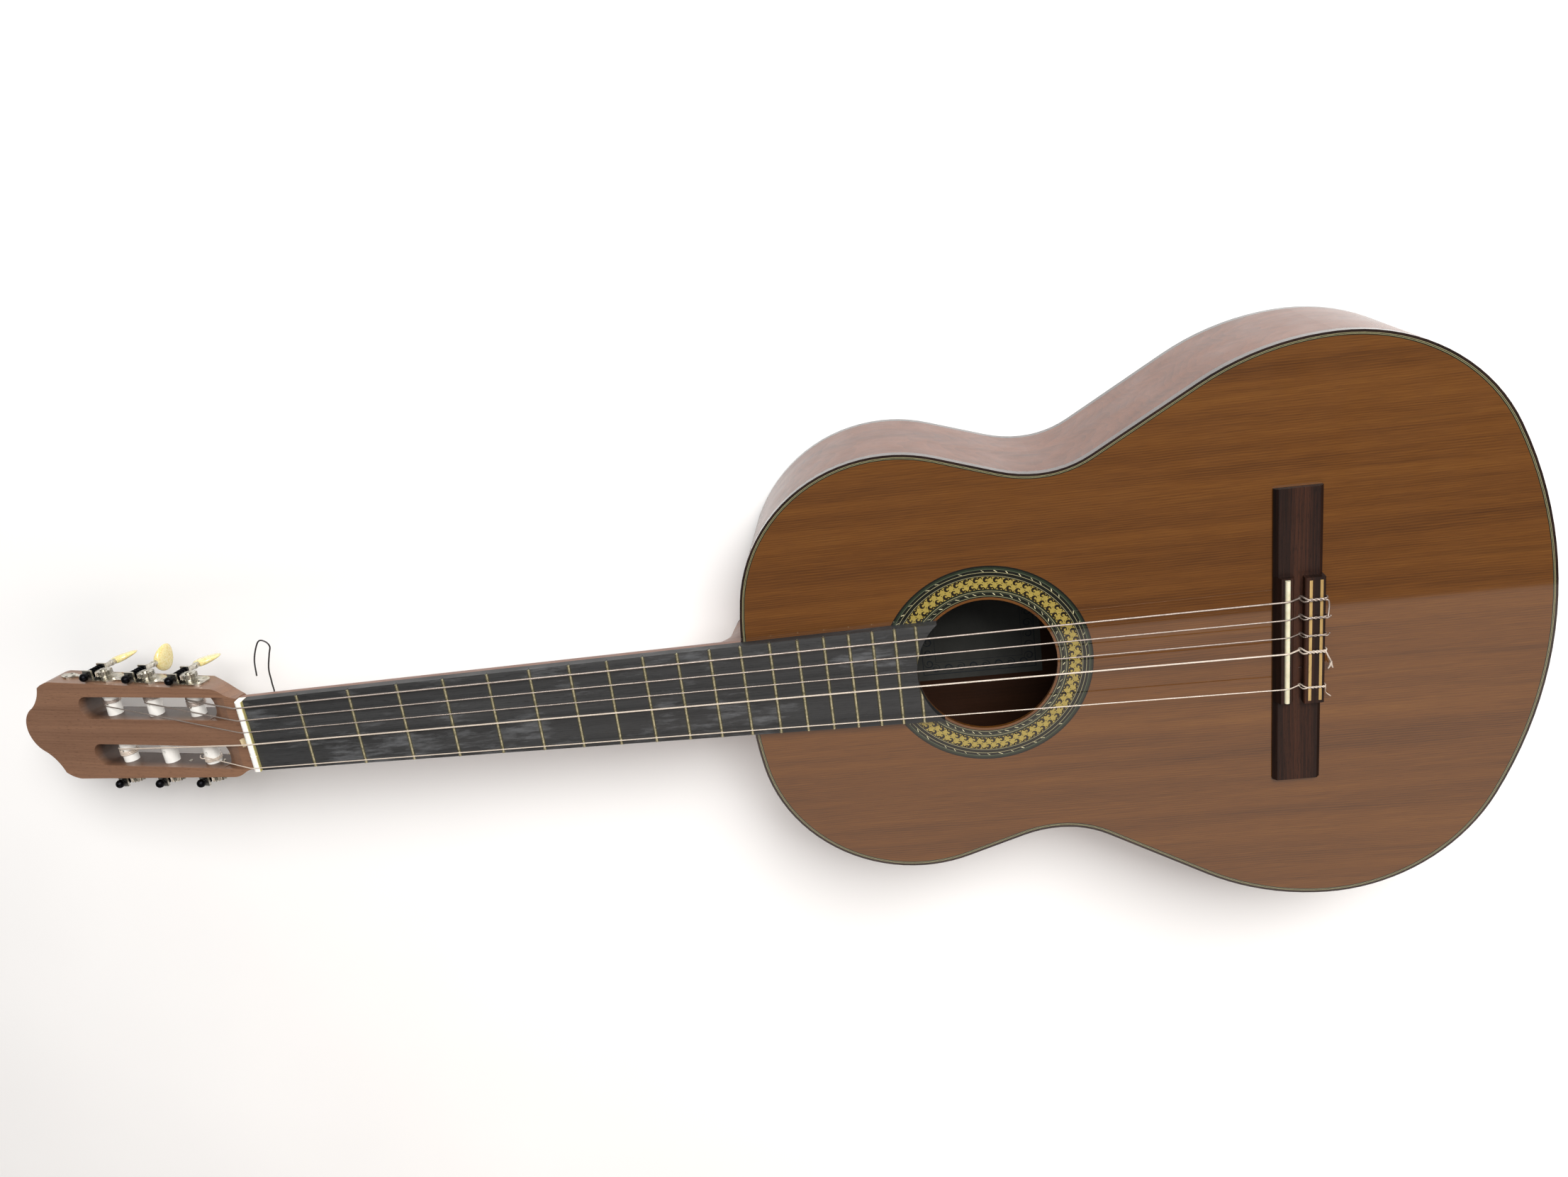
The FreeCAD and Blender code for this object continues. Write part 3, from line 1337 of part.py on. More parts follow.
def nut_slots():
    """The six grooves across the nut, open at the top."""
    grooves = []
    start, long = float(nut_x - c.nut_long) - 1, float(c.nut_long) + 2
    gauges = [(string[2], string[3]) for string in STRINGS] + [SECOND_STRING_SLOT[:2]]
    for radius, y in gauges:
        half = radius + 0.06
        height = float(nut_floor) + radius + TOUCH
        grooves.append(rod(half, 0, long, ALONG, Vector(start, y, height)))
        grooves.append(Part.makeBox(long, 2 * half, 3, Vector(start, y - half, height)))
    return solid_feature("nut_grooves", Part.makeCompound(grooves))


def nut_shim():
    """A chip of bone wedged on the face of the head, under the third string."""
    chip = doc.addObject("Part::Box", "shim_chip")
    chip.Length, chip.Width, chip.Height = 2.2, 5.5, 2.2
    chip.Placement = head_placement() * Placement(Vector(-3.6, -8.6, 0), Rotation(UP, 12))
    return chip


# --- build --------------------------------------------------------------------------------------------------

def build():
    """Make every sub-part."""
    sound = sound_box()
    keep("soundhole_label", paper_label())
    keep("neck", make_neck(sound))
    keep("heel_cap", heel_cap())
    plug = sound_hole(0, c.body_depth * 2)
    keep("fingerboard", fingerboard(plug))
    keep("frets", frets(plug))
    keep("nut", nut(nut_slots()))
    keep("nut_shim", nut_shim())
    screws = keep("tuner_screws", plate_screws())
    keep("headstock", headstock(screws))
    for side in SIDES:
        keep(f"tuner_plate_{side}", side_plate(side))
    tuners()
    trim_pair = keep("tie_block_trims", trims())
    keep("bridge", bridge(trim_pair))
    keep("saddle", saddle())
    strings()


def check():
    """Stop if any object failed or any sub-part isn't a sound solid."""
    for obj in doc.Objects:
        if any(word in state for state in obj.State for word in ("Invalid", "Error")):
            raise RuntimeError(f"{obj.Name} failed: {obj.State}")
    for obj in nodes:
        if obj.Shape.isNull() or not obj.Shape.isValid() or not obj.Shape.Solids:
            raise RuntimeError(f"{obj.Label} is not a valid solid")


build()
doc.recompute()
check()
os.makedirs("parts", exist_ok=True)
for sub_part in nodes:
    sub_part.Shape.exportStep(os.path.join("parts", f"{sub_part.Label}.step"))
print(f"{len(nodes)} sub-parts written")
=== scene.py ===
"""A classical guitar lying on its back: the finishes and the fine pieces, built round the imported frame."""

import json
import logging
import math
import random
from dataclasses import dataclass
from enum import Enum

import bpy
import numpy as np
from mathutils import Matrix, Vector


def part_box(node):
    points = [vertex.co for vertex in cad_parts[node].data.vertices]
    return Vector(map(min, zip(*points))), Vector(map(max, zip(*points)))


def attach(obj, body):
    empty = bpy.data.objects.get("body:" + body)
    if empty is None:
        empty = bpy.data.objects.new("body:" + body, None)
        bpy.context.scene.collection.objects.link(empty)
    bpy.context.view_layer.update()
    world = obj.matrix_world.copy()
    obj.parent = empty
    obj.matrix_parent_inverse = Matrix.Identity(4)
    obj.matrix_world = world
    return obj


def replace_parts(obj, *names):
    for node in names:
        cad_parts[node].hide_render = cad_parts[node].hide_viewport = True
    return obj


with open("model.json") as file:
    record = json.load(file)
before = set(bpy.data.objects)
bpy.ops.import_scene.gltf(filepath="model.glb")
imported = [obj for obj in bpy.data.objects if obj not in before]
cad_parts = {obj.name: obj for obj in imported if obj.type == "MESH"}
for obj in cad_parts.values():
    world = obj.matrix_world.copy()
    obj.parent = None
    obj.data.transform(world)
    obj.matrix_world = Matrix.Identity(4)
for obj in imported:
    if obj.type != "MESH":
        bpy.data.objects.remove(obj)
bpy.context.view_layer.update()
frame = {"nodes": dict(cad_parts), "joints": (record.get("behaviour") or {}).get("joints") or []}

LOG = logging.getLogger("guitar")
Tree, Node, Socket = bpy.types.NodeTree, bpy.types.Node, bpy.types.NodeSocket
MM = 0.001
UP = Vector((0, 0, 1))
WAVE_PERIOD = 2 * math.pi / 20  # a wave texture's band spacing at scale 1
NOISE_SPAN = (0.3, 0.7)  # nearly all values of a noise lie in this stretch
FIBRE = 0.7 * MM  # the width of wood's finest shading
PORE = 0.45 * MM  # the width of its pores


class Axis(Enum):
    """The way that a piece's grain runs, as the turn that brings it onto X."""

    LENGTHWISE = (0.0, 0.0, 0.0)
    ACROSS = (0.0, 0.0, math.pi / 2)
    HEAD = (0.0, math.radians(12.5), 0.0)


class Side(Enum):
    """A side of the guitar."""

    BASS = "bass"
    TREBLE = "treble"


# --- small tools --------------------------------------------------------------------------------------------


def find_joint(name: str) -> dict:
    """Finds one of the frame's joints by its name."""
    return next(joint for joint in frame["joints"] if joint["name"] == name)


def loft_faces(count: int, sides: int) -> list:
    """Joins rings of corners to a closed skin.

    Args:
        count: The number of rings.
        sides: Corners in each ring.

    Returns:
        The faces.
    """
    faces = []
    for low in range(0, (count - 1) * sides, sides):
        for side in range(sides):
            after = (side + 1) % sides
            faces.append((low + side, low + after, low + sides + after, low + sides + side))
    return [*faces, tuple(reversed(range(sides))), tuple(range((count - 1) * sides, count * sides))]


def strip_faces(count: int) -> list:
    """Joins pairs of corners to a strip of that many faces."""
    return [(2 * step, 2 * step + 1, 2 * step + 3, 2 * step + 2) for step in range(count)]


def linear(colour: str) -> tuple:
    """Turns an sRGB hex colour to the linear colour a shader takes.

    Args:
        colour: The colour, as "#rrggbb".

    Returns:
        Red, green, blue and alpha.
    """
    parts = [int(colour[start : start + 2], 16) / 255 for start in (1, 3, 5)]
    return (*[part / 12.92 if part <= 0.04045 else ((part + 0.055) / 1.055) ** 2.4 for part in parts], 1.0)


def add_node(tree: Tree, kind: str, inputs: dict = None, stops: list = None, **settings: object) -> Node:
    """Adds a node with its settings, and its input values or links.

    Args:
        tree: The material's node tree.
        kind: The node's type.
        inputs: Input names or numbers, each with a value or with the output that feeds it.
        stops: A colour ramp's (place, hex colour) pairs.
        settings: The node's own properties.

    Returns:
        The node.
    """
    node = tree.nodes.new(kind)
    for name, value in settings.items():
        setattr(node, name, value)
    for place, (at, colour) in enumerate(stops or []):
        ramp = node.color_ramp.elements
        stop = ramp[place] if place < len(ramp) else ramp.new(at)
        stop.position, stop.color = at, linear(colour)
    for name, value in (inputs or {}).items():
        if isinstance(value, Socket):
            tree.links.new(value, node.inputs[name])
        else:
            node.inputs[name].default_value = value
    return node


def make_object(name: str, points: list, faces: list, finishes: list,
                **options: object) -> bpy.types.Object:
    """Builds a mesh piece.

    Args:
        name: The piece's name.
        points: Its corners, in metres.
        faces: Corner numbers of each face.
        finishes: One finish, or several when options hold the faces' finish numbers.
        options: "picks" for the faces' finish numbers, "smooth" to round its shading, "uv" for (u, v) of the
            corners.

    Returns:
        The new object.
    """
    mesh = bpy.data.meshes.new(name)
    mesh.from_pydata([tuple(point) for point in points], [], [tuple(face) for face in faces])
    for finish in finishes:
        mesh.materials.append(finish.material())
    if "picks" in options:
        mesh.polygons.foreach_set("material_index", options["picks"])
    if "uv" in options:
        layer = mesh.uv_layers.new(name="along")
        for loop in mesh.loops:
            layer.data[loop.index].uv = options["uv"][loop.vertex_index]
    mesh.polygons.foreach_set("use_smooth", [options.get("smooth", True)] * len(mesh.polygons))
    mesh.update()
    piece = bpy.data.objects.new(name, mesh)
    bpy.context.scene.collection.objects.link(piece)
    return piece


def rounded_route(corners: list, bend: float = 2 * MM, count: int = 8) -> list:
    """Runs straight from corner to corner, with a round bend at each.

    Args:
        corners: The line's ends and corners.
        bend: How far each bend reaches along its runs.
        count: Points in each bend.

    Returns:
        The line's points.
    """
    corners = [Vector(corner) for corner in corners]
    points = [corners[0]]
    for before, corner, after in zip(corners, corners[1:], corners[2:]):
        reach = min(bend, 0.45 * (corner - before).length, 0.45 * (after - corner).length)
        start = corner + (before - corner).normalized() * reach
        end = corner + (after - corner).normalized() * reach
        for number in range(count + 1):
            t = number / count
            points.append(start * (1 - t) ** 2 + corner * (2 * t * (1 - t)) + end * t**2)
    points.append(corners[-1])
    return points


def smooth_route(corners: list, count: int = 6) -> list:
    """Runs one smooth curve through every corner.

    Args:
        corners: The points that it passes.
        count: Points between two corners.

    Returns:
        The line's points.
    """
    corners = [Vector(corner) for corner in corners]
    padded = [corners[0] * 2 - corners[1], *corners, corners[-1] * 2 - corners[-2]]
    points = []
    for first, start, end, last in zip(padded, padded[1:], padded[2:], padded[3:]):
        for number in range(count):
            t = number / count
            bow = (2 * first - 5 * start + 4 * end - last) * t**2
            sway = (3 * start - first - 3 * end + last) * t**3
            points.append(0.5 * (2 * start + (end - first) * t + bow + sway))
    points.append(corners[-1])
    return points


def tube(points: list, radius: float, sides: int = 10, taper: float = 1.0) -> tuple:
    """Sweeps a round section along a line.

    Args:
        points: The line.
        radius: The section's radius at its start.
        sides: Corners round the section.
        taper: The radius at the line's end, as a share of that at its start.

    Returns:
        Points, faces and (turn, length along) pairs for a wound wire's pattern.
    """
    spots, marks = [], []
    way = (points[1] - points[0]).normalized()
    aside = way.orthogonal().normalized()
    travelled = 0.0
    for index, point in enumerate(points):
        before, after = points[max(index - 1, 0)], points[min(index + 1, len(points) - 1)]
        turned = (after - before).normalized()
        if turned.length < 0.5:
            turned = way
        aside = (aside - turned * aside.dot(turned)).normalized()
        other = turned.cross(aside)
        travelled += (point - before).length if index else 0.0
        size = radius * (1 + (taper - 1) * index / (len(points) - 1))
        for side in range(sides):
            angle = 2 * math.pi * side / sides
            spots.append(point + (aside * math.cos(angle) + other * math.sin(angle)) * size)
            marks.append((side / sides, travelled))
        way = turned
    return spots, loft_faces(len(points), sides), marks


def joined(parts: list) -> tuple:
    """Puts several shapes together as one mesh's worth.

    Args:
        parts: (points, faces, marks) of each.

    Returns:
        Points, faces and marks of all.
    """
    points, faces, marks = [], [], []
    for part_points, part_faces, part_marks in parts:
        start = len(points)
        points.extend(part_points)
        faces.extend([tuple(start + corner for corner in face) for face in part_faces])
        marks.extend(part_marks)
    return points, faces, marks


# --- finishes -----------------------------------------------------------------------------------------------


@dataclass(frozen=True)
class Gloss:
    """What is the same all over a surface: how it takes the light."""

    roughness: float = 0.5
    metallic: float = 0.0
    ior: float = 1.5
    coat: float = 0.0
    coat_roughness: float = 0.04
    subsurface: float = 0.0
    transmission: float = 0.0
    specular: float = 0.5


@dataclass(frozen=True)
class Finish:
    """A finish's name and gloss, and the start of its material."""

    name: str
    gloss: Gloss

    def material(self) -> bpy.types.Material:
        """Makes the material, once.

        Returns:
            The material.
        """
        found = bpy.data.materials.get(self.name)
        if found:
            return found
        made = bpy.data.materials.new(self.name)
        made.use_nodes = True
        tree = made.node_tree
        tree.nodes.clear()
        shader = add_node(tree, "ShaderNodeBsdfPrincipled", {
            "Roughness": self.gloss.roughness, "Metallic": self.gloss.metallic, "IOR": self.gloss.ior,
            "Coat Weight": self.gloss.coat, "Coat Roughness": self.gloss.coat_roughness,
            "Subsurface Weight": self.gloss.subsurface, "Subsurface Scale": 2 * MM,
            "Transmission Weight": self.gloss.transmission, "Specular IOR Level": self.gloss.specular,
        })
        add_node(tree, "ShaderNodeOutputMaterial", {"Surface": shader.outputs["BSDF"]})
        self.paint(tree, shader)
        return made

    def paint(self, tree: Tree, shader: Node) -> None:
        """Adds the colour, the wear and the relief; each kind of finish has its own.

        Args:
            tree: The material's node tree.
            shader: The material's shader.
        """
        raise NotImplementedError

    def place(self, tree: Tree, turn: tuple = (0, 0, 0), scale: tuple = (1, 1, 1)) -> Socket:
        """Gives the place on the piece, turned and stretched.

        Args:
            tree: The material's node tree.
            turn: Rotation, in radians.
            scale: Stretch along each axis.

        Returns:
            The output that holds it.
        """
        spot = add_node(tree, "ShaderNodeTexCoord").outputs["Object"]
        turned = add_node(tree, "ShaderNodeMapping", {"Vector": spot, "Rotation": turn})
        return add_node(tree, "ShaderNodeMapping", {"Vector": turned.outputs[0], "Scale": scale}).outputs[0]

    def cloud(self, tree: Tree, size: float, spot: Socket, detail: float = 3.0,
              roughness: float = 0.55) -> Socket:
        """A noise whose patches are about a size.

        Args:
            tree: The material's node tree.
            size: The patches' size, in metres.
            spot: The place on the piece.
            detail: Octaves of finer noise.
            roughness: The strength of the finer noise.

        Returns:
            The output that holds it, 0 to 1.
        """
        return add_node(tree, "ShaderNodeTexNoise", {
            "Vector": spot, "Scale": 1 / size, "Detail": detail, "Roughness": roughness}).outputs["Fac"]

    def band(self, tree: Tree, value: Socket, low: float, high: float, first: float = 0.0,
             last: float = 1.0) -> Socket:
        """Stretches the stretch of a value from low to high onto first to last, and cuts off the rest.

        Args:
            tree: The material's node tree.
            value: The value's output.
            low: Where the stretch starts.
            high: Where it ends.
            first: What low becomes.
            last: What high becomes.

        Returns:
            The output that holds it.
        """
        return add_node(tree, "ShaderNodeMapRange", {
            "Value": value, "From Min": low, "From Max": high, "To Min": first, "To Max": last}).outputs[0]

    def blended(self, tree: Tree, share: Socket, under: Socket | tuple, over: Socket | tuple) -> Socket:
        """Lays one colour over another.

        Args:
            tree: The material's node tree.
            share: How much of the upper one shows.
            under: The lower colour.
            over: The upper colour.

        Returns:
            The output that holds the colour.
        """
        mixed = add_node(tree, "ShaderNodeMixRGB", {"Fac": share, "Color1": under, "Color2": over})
        return mixed.outputs["Color"]

    def lay_over(self, tree: Tree, shader: Node, mask: Socket, colour: Socket | tuple) -> None:
        """Lays one more colour over the one that already feeds the shader."""
        under = shader.inputs["Base Color"].links[0].from_socket
        tree.links.new(self.blended(tree, mask, under, colour), shader.inputs["Base Color"])

    def vary_gloss(self, tree: Tree, shader: Node, value: Socket, span: tuple, change: tuple) -> None:
        """Lets a value change the roughness.

        Args:
            tree: The material's node tree.
            shader: The material's shader.
            value: The value's output.
            span: The stretch of the value that counts.
            change: What its two ends add to the gloss's own roughness.
        """
        low, high = (max(self.gloss.roughness + step, 0) for step in change)
        tree.links.new(self.band(tree, value, *span, low, high), shader.inputs["Roughness"])

    def relief(self, tree: Tree, shader: Node, height: Socket, deep: float,
               strength: float = 1.0) -> None:
        """Lets a height shape the surface.

        Args:
            tree: The material's node tree.
            shader: The material's shader.
            height: The height's output, 0 to 1.
            deep: The depth that 1 stands for, in metres.
            strength: How much of it shows.
        """
        bump = add_node(tree, "ShaderNodeBump", {"Height": height, "Distance": deep, "Strength": strength})
        tree.links.new(bump.outputs["Normal"], shader.inputs["Normal"])


@dataclass(frozen=True)
class Wood(Finish):
    """Sawn timber: growth lines along one axis, short pores, broad shading and the odd darker streak."""

    pale: str
    middle: str
    dark: str
    pore: str
    line: float  # spacing of the growth lines
    axis: Axis = Axis.LENGTHWISE
    pore_length: float = 4 * MM
    pores: float = 0.4
    streaks: float = 0.0
    nicks: float = 0.0
    wear: str = ""
    worn: float = 0.0
    shading: float = 0.5  # how strong the broad bands are

    def along(self, tree: Tree, stretch: float = 1.0) -> Socket:
        """Gives the place on the piece; a stretch under 1 draws patterns out along the grain."""
        return self.place(tree, self.axis.value, (stretch, 1, 1))

    def paint(self, tree: Tree, shader: Node) -> None:
        """Growth lines over broad shading give the cut of the log; pores and nicks give its feel.

        Args:
            tree: The material's node tree.
            shader: The material's shader.
        """
        fibre = self.cloud(tree, FIBRE, self.along(tree, 0.03), 4.0, 0.65)
        shade = add_node(tree, "ShaderNodeMath", {0: fibre, 1: 0.55, 2: self.figure(tree)},
                         operation="MULTIPLY_ADD").outputs[0]
        colour = add_node(tree, "ShaderNodeValToRGB", {"Fac": shade},
                          stops=[(0.28, self.pale), (0.62, self.middle), (0.98, self.dark)]).outputs["Color"]
        pitted = self.cloud(tree, PORE, self.along(tree, PORE / self.pore_length), 1.0)
        if self.streaks:
            streak = self.cloud(tree, 5 * MM, self.along(tree, 0.035), 2.0)
            mask = self.band(tree, streak, 0.6, 0.74, 0, self.streaks)
            colour = self.blended(tree, mask, colour, linear(self.dark))
        pits = self.band(tree, pitted, 0.6, 0.7, 0, self.pores)
        colour = self.blended(tree, pits, colour, linear(self.pore))
        if self.nicks:
            colour = self.blended(tree, self.nicked(tree), colour, linear(self.wear))
        if self.worn:
            colour = self.blended(tree, self.rubbed(tree), colour, linear(self.wear))
        tree.links.new(colour, shader.inputs["Base Color"])
        smear = self.cloud(tree, 22 * MM, self.place(tree), 3.0)
        self.vary_gloss(tree, shader, smear, NOISE_SPAN, (-0.06, 0.08))
        hollow = add_node(tree, "ShaderNodeMath", {0: pitted, 1: 0.4, 2: fibre},
                          operation="MULTIPLY_ADD").outputs[0]
        self.relief(tree, shader, hollow, 0.05 * MM, 0.35)

    def figure(self, tree: Tree) -> Socket:
        """Wandering growth lines, drawn strong and weak in turn, over the broad bands.

        Args:
            tree: The material's node tree.

        Returns:
            The output that holds them.
        """
        grain = self.along(tree, 0.04)
        broad, strength = self.cloud(tree, 18 * MM, grain), self.cloud(tree, 9 * MM, grain, 1.0)
        wander = add_node(tree, "ShaderNodeTexNoise", {
            "Vector": self.along(tree, 0.12), "Scale": 1 / (30 * MM), "Detail": 1.0})
        sway = 6 * self.line
        moved = add_node(tree, "ShaderNodeVectorMath", {0: wander.outputs["Color"], 1: (0, sway, 0)},
                         operation="MULTIPLY")
        spot = add_node(tree, "ShaderNodeVectorMath", {0: self.along(tree), 1: moved.outputs[0]},
                        operation="ADD")
        lines = add_node(tree, "ShaderNodeTexWave", {
            "Vector": spot.outputs[0], "Scale": WAVE_PERIOD / self.line, "Distortion": 1.5, "Detail": 1.0,
            "Detail Scale": 0.4}, bands_direction="Y", wave_profile="SAW").outputs["Fac"]
        middle, half = 0.3, self.shading / 2
        bands = self.band(tree, broad, *NOISE_SPAN, middle - half, middle + half)
        drawn = add_node(tree, "ShaderNodeMath", {0: lines, 1: strength}, operation="MULTIPLY").outputs[0]
        return add_node(tree, "ShaderNodeMath", {0: drawn, 1: 0.34, 2: bands},
                        operation="MULTIPLY_ADD").outputs[0]

    def nicked(self, tree: Tree) -> Socket:
        """Small round nicks, in about one in five of the cells of a scattered pattern.

        Args:
            tree: The material's node tree.

        Returns:
            The output that holds them.
        """
        cells = add_node(tree, "ShaderNodeTexVoronoi", {
            "Vector": self.place(tree), "Scale": 1 / (34 * MM), "Randomness": 1.0})
        near = self.band(tree, cells.outputs["Distance"], 0.012, 0.022, self.nicks, 0)
        draw = add_node(tree, "ShaderNodeSeparateColor", {"Color": cells.outputs["Color"]}).outputs[0]
        chosen = self.band(tree, draw, 0.78, 0.8)
        return add_node(tree, "ShaderNodeMath", {0: near, 1: chosen}, operation="MULTIPLY").outputs[0]

    def rubbed(self, tree: Tree) -> Socket:
        """Dashes rubbed through along the grain, gathered in patches.

        Args:
            tree: The material's node tree.

        Returns:
            The output that holds them.
        """
        dashes = self.cloud(tree, 4 * MM, self.along(tree, 0.18), 5.0, 0.7)
        patch = self.cloud(tree, 28 * MM, self.along(tree, 0.5), 1.0)
        both = add_node(tree, "ShaderNodeMath", {0: dashes, 1: patch}, operation="MULTIPLY").outputs[0]
        return self.band(tree, both, 0.3, 0.44, 0, self.worn)


@dataclass(frozen=True)
class BackWood(Wood):
    """The ribs' wood outside; its inner face is painted dark, as painted shade inside the body."""

    # painted shade laid over the inner face, which lies in the body's shadow
    inside: str = "#231812"

    def paint(self, tree: Tree, shader: Node) -> None:
        """The inner face is told from the outer one by its height.

        Args:
            tree: The material's node tree.
            shader: The material's shader.
        """
        super().paint(tree, shader)
        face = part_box("back_plate")[1].z
        height = add_node(tree, "ShaderNodeSeparateXYZ", {"Vector": self.place(tree)}).outputs["Z"]
        # painted shade on the inner face, told from the outer face by its height
        mask = self.band(tree, height, face - 0.1 * MM, face - 0.05 * MM, 0, 0.9)
        self.lay_over(tree, shader, mask, linear(self.inside))


@dataclass(frozen=True)
class HeadWood(Wood):
    """The head's wood; the walls of its slots are dark end grain, with painted shade that makes them darker
    the deeper they go.
    """

    slot_grain_and_shade: str = "#2a1a12"
    slot_edge: float = 27 * MM  # the slots lie nearer to the middle than this
    slot_from_nut: float = 17 * MM
    face_over_rollers: float = 10 * MM

    def paint(self, tree: Tree, shader: Node) -> None:
        """Depth under the head's face is measured along the way that the worms point.

        Args:
            tree: The material's node tree.
            shader: The material's shader.
        """
        super().paint(tree, shader)
        worm, roller = find_joint("peg_turn_bass_1"), find_joint("capstan_turn_bass_1")
        out = Vector(worm["axis"])
        face = out.dot(Vector(roller["pos_m"])) + self.face_over_rollers
        spot = self.place(tree)
        height = add_node(tree, "ShaderNodeVectorMath", {0: spot, 1: tuple(out)}, operation="DOT_PRODUCT")
        # The slot colour is the end grain's own darkness plus painted shade, which deepens the further the
        # wall lies under the head's face.
        deep = self.band(tree, height.outputs["Value"], face - 7 * MM, face - 0.4 * MM, 0.9, 0)
        parts = add_node(tree, "ShaderNodeSeparateXYZ", {"Vector": spot}).outputs
        aside = add_node(tree, "ShaderNodeMath", {0: parts["Y"]}, operation="ABSOLUTE").outputs[0]
        within = self.band(tree, aside, self.slot_edge, self.slot_edge + 0.2 * MM, 1, 0)
        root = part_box("nut")[0].x - self.slot_from_nut
        beyond = self.band(tree, parts["X"], root - 1 * MM, root, 1, 0)
        slots = add_node(tree, "ShaderNodeMath", {0: within, 1: beyond}, operation="MULTIPLY").outputs[0]
        mask = add_node(tree, "ShaderNodeMath", {0: deep, 1: slots}, operation="MULTIPLY").outputs[0]
        self.lay_over(tree, shader, mask, linear(self.slot_grain_and_shade))


@dataclass(frozen=True)
class Metal(Finish):
    """Plated or drawn metal: a bright colour, dulled in patches, with fine scratches."""

    bright: str
    dull: str
    patch: float = 3 * MM
    dulled: float = 0.5

    def paint(self, tree: Tree, shader: Node) -> None:
        """Dull patches break the mirror up, as old plating does.

        Args:
            tree: The material's node tree.
            shader: The material's shader.
        """
        spot = self.place(tree)
        stain = self.cloud(tree, self.patch, spot, 5.0, 0.62)
        mask = self.band(tree, stain, 0.42, 0.68, 0, self.dulled)
        colour = self.blended(tree, mask, linear(self.bright), linear(self.dull))
        tree.links.new(colour, shader.inputs["Base Color"])
        self.vary_gloss(tree, shader, stain, (0.35, 0.7), (0, 0.22))
        scratch = self.cloud(tree, 0.5 * MM, self.place(tree, (0.3, 0.5, 0.9), (0.1, 1, 1)), 2.0)
        self.relief(tree, shader, scratch, 0.02 * MM, 0.25)


@dataclass(frozen=True)
class WormShaft(Metal):
    """A shaft with a blackened thread and ball, and bright collars and stem behind them."""

    black: str = "#17171a"
    scuffed: str = "#55565a"
    split: float = -6.6 * MM  # where the blackened length ends, from the thread's middle

    def paint(self, tree: Tree, shader: Node) -> None:
        """The split lies on a plane across the shafts, which all point out of the head's face.

        Args:
            tree: The material's node tree.
            shader: The material's shader.
        """
        super().paint(tree, shader)
        joint = find_joint("peg_turn_bass_1")
        way, start = Vector(joint["axis"]), Vector(joint["pos_m"])
        along = add_node(tree, "ShaderNodeVectorMath", {0: self.place(tree), 1: tuple(way)},
                         operation="DOT_PRODUCT").outputs["Value"]
        edge = way.dot(start) + self.split
        front = self.band(tree, along, edge, edge + 0.1 * MM)
        scuff = self.band(tree, self.cloud(tree, 1.2 * MM, self.place(tree), 4.0), 0.55, 0.75, 0, 0.35)
        black = self.blended(tree, scuff, linear(self.black), linear(self.scuffed))
        self.lay_over(tree, shader, front, black)


@dataclass(frozen=True)
class WoundWire(Finish):
    """Metal wire wound over a string's core: bright ridges, with painted shade in the darker furrows between
    them.
    """

    ridge: str
    # painted shade for the grooves between turns, and also the colour of the grime
    furrow: str
    pitch: float = 0.5 * MM  # the real winding is about 0.2 mm; it is drawn coarser so that it shows

    def paint(self, tree: Tree, shader: Node) -> None:
        """The winding goes round the string wherever it bends, so it follows the mesh's own length.

        Args:
            tree: The material's node tree.
            shader: The material's shader.
        """
        along = add_node(tree, "ShaderNodeUVMap", uv_map="along").outputs["UV"]
        turns = add_node(tree, "ShaderNodeTexWave", {"Vector": along, "Scale": WAVE_PERIOD / self.pitch},
                         bands_direction="Y").outputs["Fac"]
        grime = self.cloud(tree, 5 * MM, self.place(tree), 4.0)
        # The furrow colour is painted shade between the turns; the grime patches below also use it, as real
        # dirt.
        colour = add_node(tree, "ShaderNodeValToRGB", {"Fac": turns},
                          stops=[(0.0, self.furrow), (0.55, self.ridge), (1.0, self.ridge)]).outputs["Color"]
        dirt = self.band(tree, grime, 0.5, 0.8, 0, 0.5)
        tree.links.new(self.blended(tree, dirt, colour, linear(self.furrow)), shader.inputs["Base Color"])
        self.vary_gloss(tree, shader, grime, NOISE_SPAN, (0, 0.2))
        self.relief(tree, shader, turns, 0.06 * MM, 0.8)


@dataclass(frozen=True)
class Moulded(Finish):
    """Bone, plastic, nylon or paper: one colour, clouded with another, and a faint uneven skin."""

    base: str
    cloudy: str
    patch: float = 6 * MM
    share: float = 0.5
    skin: float = 0.6 * MM
    skin_deep: float = 0.02 * MM

    def paint(self, tree: Tree, shader: Node) -> None:
        """Clouding keeps a pale piece from looking like a flat cut-out.

        Args:
            tree: The material's node tree.
            shader: The material's shader.
        """
        haze = self.cloud(tree, self.patch, self.place(tree), 4.0, 0.6)
        mask = self.band(tree, haze, 0.35, 0.7, 0, self.share)
        colour = self.blended(tree, mask, linear(self.base), linear(self.cloudy))
        tree.links.new(colour, shader.inputs["Base Color"])
        fine = self.cloud(tree, self.skin, self.place(tree), 3.0)
        self.vary_gloss(tree, shader, fine, NOISE_SPAN, (-0.05, 0.1))
        self.relief(tree, shader, fine, self.skin_deep, 0.4)


